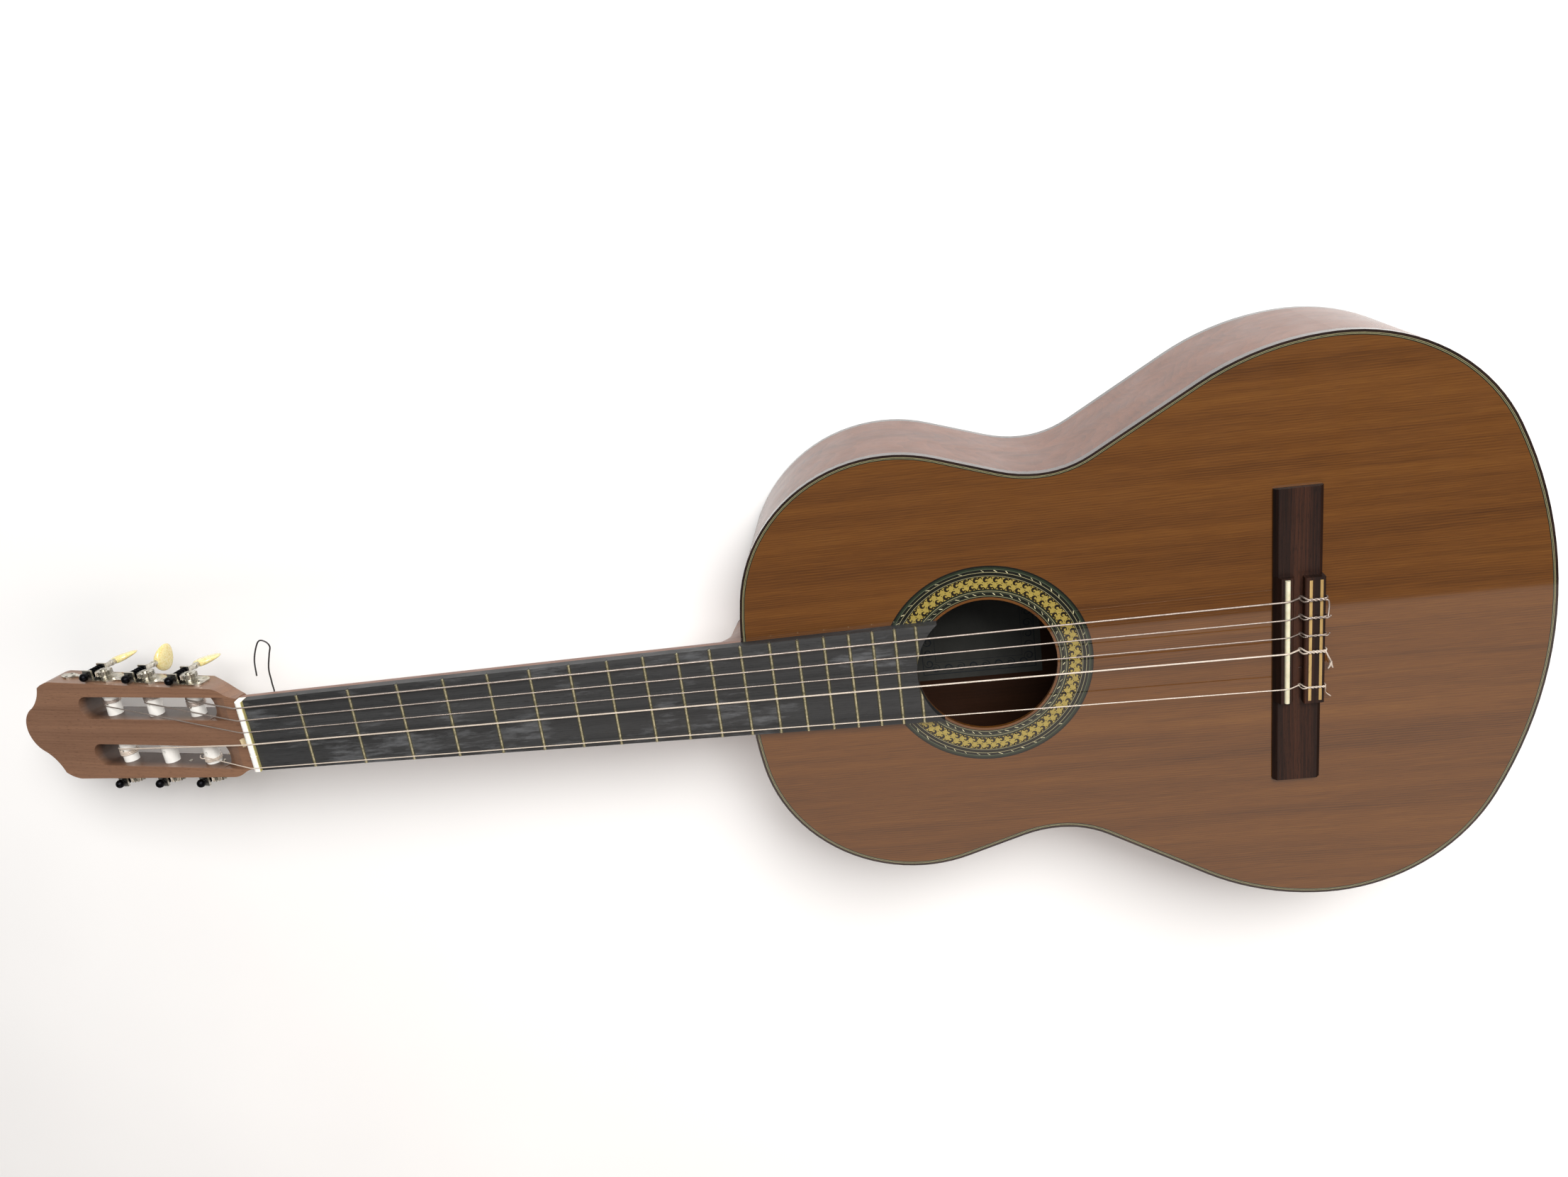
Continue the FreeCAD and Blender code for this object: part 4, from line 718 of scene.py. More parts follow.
@dataclass(frozen=True)
class Nut(Moulded):
    """A bone nut with a line of old glue, gone yellow, where it meets the fingerboard."""

    glue: str = "#b9ad4e"

    def paint(self, tree: Tree, shader: Node) -> None:
        """The glue line runs along the nut's front edge.

        Args:
            tree: The material's node tree.
            shader: The material's shader.
        """
        super().paint(tree, shader)
        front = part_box("nut")[1].x
        along = add_node(tree, "ShaderNodeSeparateXYZ", {"Vector": self.place(tree)}).outputs["X"]
        ragged = self.cloud(tree, 1.5 * MM, self.place(tree), 2.0)
        wavy = add_node(tree, "ShaderNodeMath", {0: ragged, 1: 0.5 * MM, 2: along},
                        operation="MULTIPLY_ADD").outputs[0]
        mask = self.band(tree, wavy, front - 0.35 * MM, front - 0.1 * MM, 0, 0.85)
        self.lay_over(tree, shader, mask, linear(self.glue))


@dataclass(frozen=True)
class Pearl(Finish):
    """Pearloid: cast plastic with folded bands of pale pigment under a clear skin."""

    base: str
    band_colour: str
    fold: float = 5 * MM

    def paint(self, tree: Tree, shader: Node) -> None:
        """Two noises, one bent by the other, give the folds.

        Args:
            tree: The material's node tree.
            shader: The material's shader.
        """
        spot = self.place(tree)
        bend = add_node(tree, "ShaderNodeTexNoise", {"Vector": spot, "Scale": 1 / self.fold, "Detail": 2.0})
        reach = (3 * MM, 3 * MM, 3 * MM)
        moved = add_node(tree, "ShaderNodeVectorMath", {0: bend.outputs["Color"], 1: reach},
                         operation="MULTIPLY")
        bent = add_node(tree, "ShaderNodeVectorMath", {0: spot, 1: moved.outputs[0]}, operation="ADD")
        folds = self.cloud(tree, self.fold / 2, bent.outputs[0], 4.0, 0.5)
        colour = add_node(tree, "ShaderNodeValToRGB", {"Fac": folds}, stops=[
            (0.35, self.band_colour), (0.5, self.base), (0.6, self.band_colour), (0.7, self.base)])
        tree.links.new(colour.outputs["Color"], shader.inputs["Base Color"])
        self.relief(tree, shader, folds, 0.03 * MM, 0.3)


@dataclass(frozen=True)
class Floor(Finish):
    """Smooth pale floor paint, faintly uneven."""

    pale: str
    shade: str

    def paint(self, tree: Tree, shader: Node) -> None:
        """A broad cloud keeps it from being one flat tone.

        Args:
            tree: The material's node tree.
            shader: The material's shader.
        """
        cloud = self.cloud(tree, 300 * MM, self.place(tree), 3.0)
        mask = self.band(tree, cloud, *NOISE_SPAN, 0, 0.6)
        tree.links.new(self.blended(tree, mask, linear(self.pale), linear(self.shade)),
                       shader.inputs["Base Color"])


# Lacquered pieces: the coat takes the light; under it the wood gives little gloss of its own.
LACQUER = Gloss(0.45, coat=1.0, coat_roughness=0.035, specular=0.1)
THIN_LACQUER = Gloss(0.45, coat=0.55, coat_roughness=0.06, specular=0.1)
# Cedar under polyester lacquer: straight fine lines, a deep even gloss on top.
CEDAR = Wood("lacquered_cedar", LACQUER, "#754c1f", "#603a16", "#40240d",
             "#3a2210", line=1.5 * MM, pore_length=9 * MM, pores=0.2, streaks=0.35, nicks=0.7, wear="#c39a68",
             shading=0.22)
# Mahogany ribs and back under a thinner lacquer: red-brown, with short dark pores. The back's inner face gets
# painted shade.
MAHOGANY_SHADES = ("#7d4a2e", "#6c3d24", "#4f2a17", "#331c14")
MAHOGANY_GRAIN = {"line": 3.2 * MM, "pores": 0.5, "streaks": 0.2, "shading": 0.3}
MAHOGANY = Wood("lacquered_mahogany", THIN_LACQUER, *MAHOGANY_SHADES, **MAHOGANY_GRAIN)
BACK = BackWood("mahogany_back", THIN_LACQUER, *MAHOGANY_SHADES, **MAHOGANY_GRAIN)
# The neck's and the head's hardwood, rubbed satin: pinkish brown, close pores, a few pale nicks.
SATIN = Gloss(0.46, coat=0.35, coat_roughness=0.3)
NECK_GRAIN = {"line": 2.4 * MM, "pores": 0.4, "nicks": 0.5, "wear": "#cdb092"}
NECK_WOOD = Wood("satin_neck_wood", SATIN, "#93694f", "#835a45", "#6c4636", "#4a2c20", **NECK_GRAIN)
HEAD_WOOD = HeadWood("satin_head_wood", SATIN, "#8f6a50", "#815f49", "#6f4f3b", "#4a3022", axis=Axis.HEAD,
                     **NECK_GRAIN)
# Dyed fingerboard: near black, dry, rubbed grey in dashes along the grain.
BOARD_WOOD = Wood("dyed_fingerboard", Gloss(0.48), "#38393a", "#2c2d2e", "#1f2021", "#121213", line=1.6 * MM,
                  pore_length=6 * MM, pores=0.6, wear="#65676a", worn=0.55)
# Oiled rosewood of the bridge: dark brown, with nearly black figure along its length.
ROSEWOOD = Wood("oiled_rosewood", Gloss(0.5, coat=0.08, coat_roughness=0.25, specular=0.2),
                "#3b2115", "#1f100b", "#100805", "#0d0706", line=2.1 * MM, axis=Axis.ACROSS,
                pore_length=5 * MM, pores=0.6, streaks=0.7, shading=0.7)
# Bare spruce inside, and the plain blocks.
SPRUCE = Wood("bare_spruce", Gloss(0.7), "#8a6f4e", "#6f573b", "#54402b", "#3d2d1e", line=1.8 * MM, pores=0.2)
# Bindings: dark dyed wood, sanded flush under the lacquer.
BINDING = Wood("dyed_binding", LACQUER, "#2e1d16", "#22150f", "#150c09",
               "#0c0705", line=1.2 * MM, pores=0.4)
# Nickel plate, clouded by years of handling.
NICKEL = Metal("clouded_nickel", Gloss(0.22, metallic=1.0), "#d3cfc4", "#857f70", dulled=0.65)
WORM = WormShaft("blackened_worm", Gloss(0.3, metallic=1.0), "#d3cfc4", "#857f70")
# Nickel-silver fret wire: yellowish, with dull patches.
FRET_WIRE = Metal("nickel_silver", Gloss(0.3, metallic=1.0), "#cfc9a6", "#77745a", patch=1.6 * MM, dulled=0.8)
BONE = Nut("bleached_bone", Gloss(0.4, coat=0.3, coat_roughness=0.2, subsurface=0.15), "#faf9f5", "#ebe8de")
AGED_BONE = Moulded("aged_bone", Gloss(0.4, subsurface=0.15), "#dedac0", "#c6bf9d", share=0.7)
SHIM = Moulded("bone_chip", Gloss(0.5), "#d9c9a4", "#b79f72", patch=2 * MM)
TRIM = Wood("boxwood_strip", Gloss(0.45, coat=0.2, coat_roughness=0.2),
            "#bd9f68", "#a98b54", "#8a6d3a", "#654d28", line=0.8 * MM, axis=Axis.ACROSS, pores=0.35)
ROLLER_PLASTIC = Moulded("roller_plastic", Gloss(0.35, subsurface=0.1), "#ece9e2", "#cdc6ba",
                          patch=3 * MM)
PEARL = Pearl("pearloid", Gloss(0.25, coat=0.8, coat_roughness=0.06, subsurface=0.25), "#f2e6ab", "#e4cf82")
WOUND = WoundWire("silvered_winding", Gloss(0.42, metallic=1.0), "#dccfc6", "#83786f")
TARNISHED = WoundWire("tarnished_winding", Gloss(0.4, metallic=1.0), "#5c5a5c", "#232324")
NYLON = Moulded("clear_nylon", Gloss(0.15, transmission=0.35), "#efe2d4", "#d8c7b5", patch=4 * MM)
# The label's paper is painted dark: its colour is painted shade, as the label lies in the shadow inside the
# body.
SHADED_LABEL_PAPER = Moulded("label_paper_painted_shade", Gloss(0.85), "#383835", "#2a2a27", patch=12 * MM, share=0.6)
INK = Moulded("blue_grey_ink", Gloss(0.8), "#0f161d", "#1a2229", patch=3 * MM)
# Dyed veneers of the rosette and purfling, all under the top's lacquer.
BLACK_LINE = Moulded("veneer_black", LACQUER, "#0d0e0a", "#171a12", patch=2 * MM)
GREEN_LINE = Moulded("veneer_green", LACQUER, "#1c2519", "#283323", patch=2 * MM)
GREY_LINE = Moulded("veneer_grey", LACQUER, "#4d5340", "#3c4232", patch=2 * MM)
LIGHT_LINE = Moulded("veneer_light", LACQUER, "#96906d", "#767151", patch=2 * MM)
CREAM_CHIP = Moulded("veneer_cream", LACQUER, "#d6cfa6", "#a9a27d", patch=1 * MM)
GOLD_FIELD = Moulded("mosaic_gold", LACQUER, "#9c8a45", "#857334", patch=2 * MM, share=0.7)
DARK_SCROLL = Moulded("mosaic_dark", LACQUER, "#150f07", "#241a0b", patch=1 * MM)
FLOOR = Floor("floor_paint", Gloss(0.6), "#fafafa", "#f3f3f3")


# --- the guitar's sub-assemblies ----------------------------------------------------------------------------


@dataclass(frozen=True)
class Dressing:
    """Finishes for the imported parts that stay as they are."""

    plain: tuple = (
        (CEDAR, "soundboard"), (MAHOGANY, "rib_bass rib_treble heel_cap"), (BACK, "back_plate"),
        (BINDING, "top_binding back_binding"), (SPRUCE, "linings tail_block top_braces back_braces"),
        (SHADED_LABEL_PAPER, "soundhole_label"), (NECK_WOOD, "neck"), (HEAD_WOOD, "headstock"),
        (BOARD_WOOD, "fingerboard"),
        (FRET_WIRE, "frets"), (BONE, "nut"), (SHIM, "nut_shim"), (AGED_BONE, "saddle"), (ROSEWOOD, "bridge"),
        (TRIM, "tie_block_trims"), (NICKEL, "tuner_screws tuner_plate_bass tuner_plate_treble"),
    )
    tuner: tuple = ((NICKEL, "gear"), (WORM, "worm"), (ROLLER_PLASTIC, "roller"))

    def dress(self) -> None:
        """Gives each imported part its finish."""
        for finish, names in self.plain:
            for name in names.split():
                self.coat(name, finish)
        for finish, kind in self.tuner:
            for side in Side:
                for number in (1, 2, 3):
                    self.coat(f"{kind}_{side.value}_{number}", finish)

    def coat(self, name: str, finish: Finish) -> None:
        """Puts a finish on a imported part.

        Args:
            name: The part's node.
            finish: Its finish.
        """
        mesh = frame["nodes"][name].data
        mesh.materials.clear()
        mesh.materials.append(finish.material())
        LOG.info("%s: %s", name, finish.name)


@dataclass(frozen=True)
class Rosette:
    """The inlaid rings round the sound hole: lines, two bands of slanted chips and a scrolled mosaic."""

    chips: int = 54
    scrolls: int = 58
    inner: float = 44.5 * MM
    inner_chips: int = 3  # the place of this ring among the rings, as for the next two
    mosaic: int = 9
    outer_chips: int = 14
    proud: float = 0.03 * MM

    def build(self) -> None:
        """Lays the rings, the chips and the scrolls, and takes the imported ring's place."""
        low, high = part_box("rosette")
        centre = Vector(((low.x + high.x) / 2, 0, high.z))
        outer = (high.x - low.x) / 2
        rings = [  # relative width, finish; from the hole outwards
            (0.7, BLACK_LINE), (0.25, LIGHT_LINE), (0.5, GREEN_LINE), (1.5, BLACK_LINE), (0.3, GREY_LINE),
            (0.5, BLACK_LINE), (0.35, LIGHT_LINE), (0.6, GREEN_LINE), (0.5, BLACK_LINE),
            (7.6, GOLD_FIELD),
            (0.5, BLACK_LINE), (0.3, LIGHT_LINE), (1.9, BLACK_LINE), (0.3, LIGHT_LINE), (1.5, BLACK_LINE),
            (0.4, GREY_LINE), (1.1, GREEN_LINE), (1.0, BLACK_LINE)]
        finishes = [BLACK_LINE, LIGHT_LINE, GREEN_LINE, GREY_LINE, GOLD_FIELD]
        share = (outer - self.inner) / (sum(width for width, _ in rings) * MM)
        points, faces, picks = [], [], []
        start, steps = self.inner, 160
        places = []
        for width, finish in rings:
            end = start + width * MM * share
            places.append((start, end))
            self.flat_ring(points, faces, picks, centre, (start, end), steps, finishes.index(finish))
            start = end
        ring = make_object("rosette_rings", points, faces, finishes, picks=picks, smooth=False)
        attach(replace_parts(ring, "rosette"), "root")
        chips = self.chip_band(centre, places[self.inner_chips], 1.0)
        chips += self.chip_band(centre, places[self.outer_chips], 0.7)
        self.inlay("rosette_chips", chips, CREAM_CHIP)
        self.inlay("rosette_scrolls", self.scroll_band(centre, places[self.mosaic]), DARK_SCROLL)
        LOG.info("rosette: %d rings, %d scrolls", len(rings), 2 * self.scrolls)

    def flat_ring(self, points: list, faces: list, picks: list, centre: Vector, radii: tuple, steps: int,
                  pick: int) -> None:
        """Adds one flat ring to a mesh in the making.

        Args:
            points: The mesh's corners so far.
            faces: Its faces so far.
            picks: Their finish numbers so far.
            centre: The ring's centre.
            radii: Its inner and outer radius.
            steps: Corners round it.
            pick: Its finish number.
        """
        first = len(points)
        for number in range(steps):
            angle = 2 * math.pi * number / steps
            way = Vector((math.cos(angle), math.sin(angle), 0))
            points.extend(centre + way * radius for radius in radii)
        for number in range(steps):
            here, there = first + 2 * number, first + 2 * ((number + 1) % steps)
            faces.append((here, here + 1, there + 1, there))
            picks.append(pick)

    def inlay(self, name: str, shapes: list, finish: Finish) -> None:
        """Makes one piece of many flat inlaid shapes.

        Args:
            name: The piece's name.
            shapes: (points, faces) of each.
            finish: Their finish.
        """
        points, faces, _ = joined([(spots, sides, []) for spots, sides in shapes])
        piece = make_object(name, points, faces, [finish], smooth=False)
        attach(piece, "root")

    def chip_band(self, centre: Vector, radii: tuple, share: float) -> list:
        """Slanted pale chips set in a dark ring, each a little different.

        Args:
            centre: The ring's centre.
            radii: The ring's inner and outer radius.
            share: How many of the places hold a chip.

        Returns:
            (points, faces) of each chip.
        """
        dice = random.Random(7)
        shapes = []
        inner, outer = radii[0] + 0.2 * MM, radii[1] - 0.2 * MM
        for number in range(self.chips):
            if dice.random() > share:
                continue
            start = 2 * math.pi * (number + dice.uniform(-0.15, 0.15)) / self.chips
            wide = dice.uniform(0.35, 0.8) * MM / inner
            slant = dice.uniform(1.2, 2.2) * MM / inner
            corners = [(inner, start), (inner, start + wide),
                       (outer, start + wide + slant), (outer, start + slant)]
            points = [centre + Vector((radius * math.cos(angle), radius * math.sin(angle), self.proud))
                      for radius, angle in corners]
            shapes.append((points, [(0, 1, 2, 3)]))
        return shapes

    def scroll_band(self, centre: Vector, radii: tuple) -> list:
        """Two rows of hooked scrolls that lean into each other, with dots along both borders.

        Args:
            centre: The ring's centre.
            radii: The mosaic's inner and outer radius.

        Returns:
            (points, faces) of each stroke and dot.
        """
        shapes = []
        middle = (radii[0] + radii[1]) / 2
        quarter = (radii[1] - radii[0]) / 4
        pitch = 2 * math.pi / self.scrolls
        for number in range(self.scrolls):
            for row, flip in ((quarter, 1), (-quarter, -1)):
                angle = pitch * (number + (0.5 if flip < 0 else 0))
                shapes.append(self.scroll(centre, middle + row, angle, flip))
                dot_radius = middle + flip * (2 * quarter - 0.55 * MM)
                shapes.append(self.dot(centre, dot_radius, angle + pitch * 0.62, 0.42 * MM))
                shapes.append(self.dot(centre, middle + flip * 0.35 * MM, angle + pitch * 0.3, 0.3 * MM))
        return shapes

    def scroll(self, centre: Vector, radius: float, angle: float, flip: int) -> tuple:
        """One hooked scroll: a fat hook that thins into a tail towards the next.

        Args:
            centre: The ring's centre.
            radius: Its row's radius.
            angle: Its place round the ring.
            flip: 1 for the outer row, -1 for the inner one.

        Returns:
            Its points and faces.
        """
        line = []
        hook, steps = 1.3 * MM, 16
        for step in range(steps + 1):
            t = step / steps
            turn = math.radians(-150 + 300 * t)
            reach = hook * (1 - 0.25 * t)
            line.append((reach * math.cos(turn) - 0.3 * MM, -flip * reach * math.sin(turn) * 1.05,
                         (0.62 + 0.95 * math.sin(math.pi * min(t * 1.25, 1))) * MM))
        tail_from = line[0]
        for step in range(1, 7):
            t = step / 6
            bow = flip * 1.3 * MM * math.sin(math.pi * t)
            line.insert(0, (tail_from[0] - 2.6 * MM * t, tail_from[1] + bow, (0.7 - 0.2 * t) * MM))
        points = []
        for index, (u, v, wide) in enumerate(line):
            near, far = line[max(index - 1, 0)], line[min(index + 1, len(line) - 1)]
            way = Vector((far[0] - near[0], far[1] - near[1], 0)).normalized()
            for edge in (-0.5, 0.5):
                across, out = u - way.y * wide * edge, v + way.x * wide * edge
                spot = radius + out
                turn = angle + across / radius
                points.append(centre + Vector((spot * math.cos(turn), spot * math.sin(turn), self.proud)))
        return points, strip_faces(len(line) - 1)

    def dot(self, centre: Vector, radius: float, angle: float, size: float) -> tuple:
        """One round dot of the mosaic.

        Args:
            centre: The ring's centre.
            radius: Its distance from the centre.
            angle: Its place round the ring.
            size: Its own radius.

        Returns:
            Its points and faces.
        """
        middle = centre + Vector((radius * math.cos(angle), radius * math.sin(angle), self.proud))
        sides = 8
        angles = [2 * math.pi * side / sides for side in range(sides)]
        points = [middle + Vector((math.cos(angle), math.sin(angle), 0)) * size for angle in angles]
        return points, [tuple(range(sides))]


@dataclass(frozen=True)
class Purfling:
    """Fine light and dark lines let into the top, just inside its binding."""

    lines: tuple = (  # width in mm, finish; from the binding inwards
        (0.3, LIGHT_LINE), (0.4, BLACK_LINE), (0.25, LIGHT_LINE), (0.35, GREEN_LINE), (0.2, BLACK_LINE))

    def rims(self) -> tuple:
        """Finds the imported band's outer and inner rim.

        Returns:
            The two rims, as lists of points.
        """
        mesh = frame["nodes"]["top_purfling"].data
        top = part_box("top_purfling")[1].z
        edges = set()
        for polygon in mesh.polygons:
            corners = [mesh.vertices[corner].co for corner in polygon.vertices]
            if min(corner.z for corner in corners) < top - 0.001 * MM:
                continue
            keys = [(round(corner.x, 7), round(corner.y, 7)) for corner in corners]
            for pair in zip(keys, keys[1:] + keys[:1]):
                if pair[::-1] in edges:
                    edges.remove(pair[::-1])
                else:
                    edges.add(pair)
        following = dict(edges)
        rims = []
        while following:
            here = next(iter(following))
            rim = []
            while here in following:
                rim.append(Vector((*here, top)))
                here = following.pop(here)
            rims.append(rim)
        rims.sort(key=lambda rim: max(point.y for point in rim), reverse=True)
        return rims[0], rims[1]

    def nearest(self, point: Vector, rim: np.ndarray) -> Vector:
        """Finds the point of a rim that is nearest to a point.

        Args:
            point: The point.
            rim: The rim's points, one a row.

        Returns:
            The nearest point.
        """
        run = np.roll(rim, -1, axis=0) - rim
        away = np.array(point) - rim
        share = np.clip((away * run).sum(1) / np.maximum((run * run).sum(1), 1e-15), 0, 1)
        spots = rim + run * share[:, None]
        return Vector(spots[((spots - np.array(point)) ** 2).sum(1).argmin()])

    def build(self) -> None:
        """Lays the lines side by side, from the binding inwards."""
        outer, inner = self.rims()
        inner_array = np.array([tuple(point) for point in inner])
        partners = [self.nearest(point, inner_array) for point in outer]
        total = sum(width for width, _ in self.lines)
        finishes = [BLACK_LINE, LIGHT_LINE, GREEN_LINE]
        points, faces, picks = [], [], []
        reached = 0.0
        for width, finish in self.lines:
            first, count = len(points), len(outer)
            for share in (reached / total, (reached + width) / total):
                points.extend(near.lerp(far, share) for near, far in zip(outer, partners))
            for number in range(count):
                after = (number + 1) % count
                faces.append((first + number, first + after, first + count + after, first + count + number))
                picks.append(finishes.index(finish))
            reached += width
        band = make_object("purfling_lines", points, faces, finishes, picks=picks, smooth=False)
        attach(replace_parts(band, "top_purfling"), "root")
        LOG.info("purfling: %d lines", len(self.lines))


@dataclass(frozen=True)
class Tuner:
    """One machine head's places, read from its two joints."""

    side: Side
    number: int

    def joint(self, kind: str) -> dict:
        """Finds one of the tuner's joints."""
        return find_joint(f"{kind}_turn_{self.side.value}_{self.number}")

    @property
    def out(self) -> Vector:
        """The way out of the head's face, along the worm."""
        return Vector(self.joint("peg")["axis"])

    @property
    def outwards(self) -> Vector:
        """The way out of the head's edge, along the roller."""
        return Vector(self.joint("capstan")["axis"])

    @property
    def to_tip(self) -> Vector:
        """The way along the head's edge, to its tip."""
        way = self.outwards.cross(self.out).normalized()
        return way if way.x < 0 else -way

    @property
    def edge(self) -> Vector:
        """Where the roller's axis meets the head's edge."""
        return Vector(self.joint("capstan")["pos_m"])

    @property
    def worm_middle(self) -> Vector:
        """The middle of the worm's thread."""
        return Vector(self.joint("peg")["pos_m"])


@dataclass(frozen=True)
class Button:
    """A pearloid button: a broad egg, thick at the stem and thin at its far edge, moulded in one piece."""

    tuner: Tuner
    turn: float  # degrees about the worm
    start: float = 17.6 * MM
    long: float = 15.9 * MM
    half: float = 10.6 * MM
    thick: float = 3.1 * MM
    thin: float = 1.3 * MM
    stem_share: float = 0.035  # the share of the half turn that is cut off at the stem
    fullness: float = 0.72  # under 1, the outline is fuller than an ellipse
    lean: float = 0.14  # the share of breadth that the far end gains and the stem's end loses

    def build(self) -> None:
        """Lofts rings from the stem to the far edge."""
        tuner = self.tuner
        frame_turn = Matrix.Rotation(math.radians(self.turn), 3, tuner.out)
        along_edge = tuner.outwards.cross(tuner.out).normalized()
        broad = frame_turn @ along_edge
        flat = frame_turn @ tuner.outwards
        rings, sides = 22, 28
        points = []
        for ring in range(rings + 1):
            t = math.pi * (self.stem_share + (1 - self.stem_share) * ring / rings)
            rise = math.sin(t)
            half = self.half * max(rise, 0.0) ** self.fullness * (0.9 - self.lean * math.cos(t))
            share = (1 - math.cos(t)) / 2
            deep = (self.thick + (self.thin - self.thick) * share) * max(rise, 0.0) ** 0.4
            middle = tuner.worm_middle - tuner.out * (self.start + self.long * share)
            for side in range(sides):
                angle = 2 * math.pi * side / sides
                across = math.copysign(abs(math.cos(angle)) ** 0.85, math.cos(angle))
                points.append(middle + broad * (half * across) + flat * (deep * math.sin(angle)))
        faces = loft_faces(rings + 1, sides)
        name = f"{tuner.side.value}_{tuner.number}"
        piece = make_object(f"pearl_{name}", points, faces, [PEARL])
        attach(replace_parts(piece, f"button_{name}"), f"peg_{name}")
        LOG.info("button %s at %.0f degrees", name, self.turn)


@dataclass(frozen=True)
class GuitarString:
    """One string: its run, its tie at the bridge, and its turns on the roller."""

    name: str
    radius: float
    nut_y: float
    saddle_y: float
    tuner: Tuner
    arrival: float  # place across the guitar where it comes down on the roller
    finish: Finish
    slot: str
    twists: float = 2.0
    tail: tuple = ()  # the free end at the bridge, as steps from the tie's end
    roller_radius: float = 5 * MM
    touch: float = 0.04 * MM
    slot_outer: float = 26 * MM
    over_board: float = 1.5 * MM  # how high the nut lifts it over the fingerboard
    turns: int = 4

    def roller_middle(self) -> Vector:
        """Gives the place on the roller's axis where the string arrives."""
        edge, way = self.tuner.edge, self.tuner.outwards
        return edge + way * ((self.arrival - edge.y) / way.y)

    def leave(self) -> Vector:
        """Gives the place behind the nut where the string turns down.

        Returns:
            The place.
        """
        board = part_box("fingerboard")[1].z
        height = board + self.over_board + self.radius + self.touch
        return Vector((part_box("nut")[0].x - 0.6 * MM, self.nut_y, height))

    def round_roller(self, sweep: float) -> list:
        """Lays the string on the roller and part of the way round it.

        Args:
            sweep: How far round, in degrees.

        Returns:
            Its points, from inside out to where the straight run starts.
        """
        middle, leave = self.roller_middle(), self.leave()
        bend = self.roller_radius + self.radius + self.touch
        run, drop = leave.x - middle.x, leave.z - middle.z
        lean = math.atan2(drop, run) - math.asin(bend / math.hypot(run, drop))
        upright = Vector((-math.sin(lean), 0, math.cos(lean)))
        upright = (upright - self.tuner.outwards * upright.dot(self.tuner.outwards)).normalized()
        forward = (self.tuner.to_tip - upright * self.tuner.to_tip.dot(upright)).normalized()
        steps = 24
        return [middle + (upright * math.cos(angle) + forward * math.sin(angle)) * bend
                for angle in (math.radians(sweep) * (1 - step / steps) for step in range(steps + 1))]

    def tie(self) -> list:
        """Ties the end down: behind the block, over it, round the string, and back, twisted on itself.

        Returns:
            The tie's points, from the hole's far end.
        """
        low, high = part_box("bridge")
        y, r = self.saddle_y, self.radius
        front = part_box("tie_block_trims")[0].x - 2.2 * MM
        back, top, hole = high.x, high.z, low.z + 4.6 * MM
        centre = top + 2 * r + 0.05 * MM
        first, last = front + 0.8 * MM, back - 0.6 * MM
        per_turn = 8
        count = int(self.twists * per_turn)

        def strand(phase: float) -> list:
            """One of the two strands that twist round each other."""
            steps = [(first + (last - first) * step / count, 2 * math.pi * step / per_turn + phase)
                     for step in range(count + 1)]
            return [Vector((x, y + r * math.cos(angle), centre + r * math.sin(angle))) for x, angle in steps]

        over = list(reversed(strand(0)))
        home = strand(math.pi)
        side = 2.3 * r
        rise = [(back + 0.6 * MM, 0, hole), (back + 0.5 * MM + r, r, (hole + top) / 2),
                (back + 0.2 * MM + r, r, top)]
        loop = [(front - 0.8 * MM, side, top - 0.6 * MM), (front - 1.6 * MM, side, hole + 1.2 * r),
                (front - 2.2 * MM, 0, hole - 1.2 * r), (front - 1.8 * MM, -side, hole + 1.2 * r),
                (front - 0.9 * MM, -side, top - 0.4 * MM)]
        rise, loop = ([Vector((x, y + aside, z)) for x, aside, z in part] for part in (rise, loop))
        return [*rise, *over, *loop, *home, *[home[-1] + Vector(step) * MM for step in self.tail]]

    def build(self) -> None:
        """Makes the string and its turns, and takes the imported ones' places."""
        saddle_low, saddle_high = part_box("saddle")
        crest = Vector(((saddle_low.x + saddle_high.x) / 2 + 0.5 * MM, self.saddle_y,
                        saddle_high.z + self.radius + self.touch))
        tie = self.tie()
        entry = Vector((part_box("tie_block_trims")[0].x - 3.6 * MM, self.saddle_y, tie[0].z))
        on_roller = self.round_roller(190)
        main = rounded_route([on_roller[-1], self.leave(), crest, entry, tie[0]])
        points, faces, marks = tube(on_roller[:-1] + main[:-1] + smooth_route(tie, 4), self.radius)
        piece = make_object(f"run_{self.name}", points, faces, [self.finish], uv=marks)
        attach(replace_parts(piece, f"string_{self.name}"), "root")
        self.build_turns()
        LOG.info("string %s: %.2f mm thick, tied with %.1f twists",
                 self.name, 2 * self.radius / MM, self.twists)

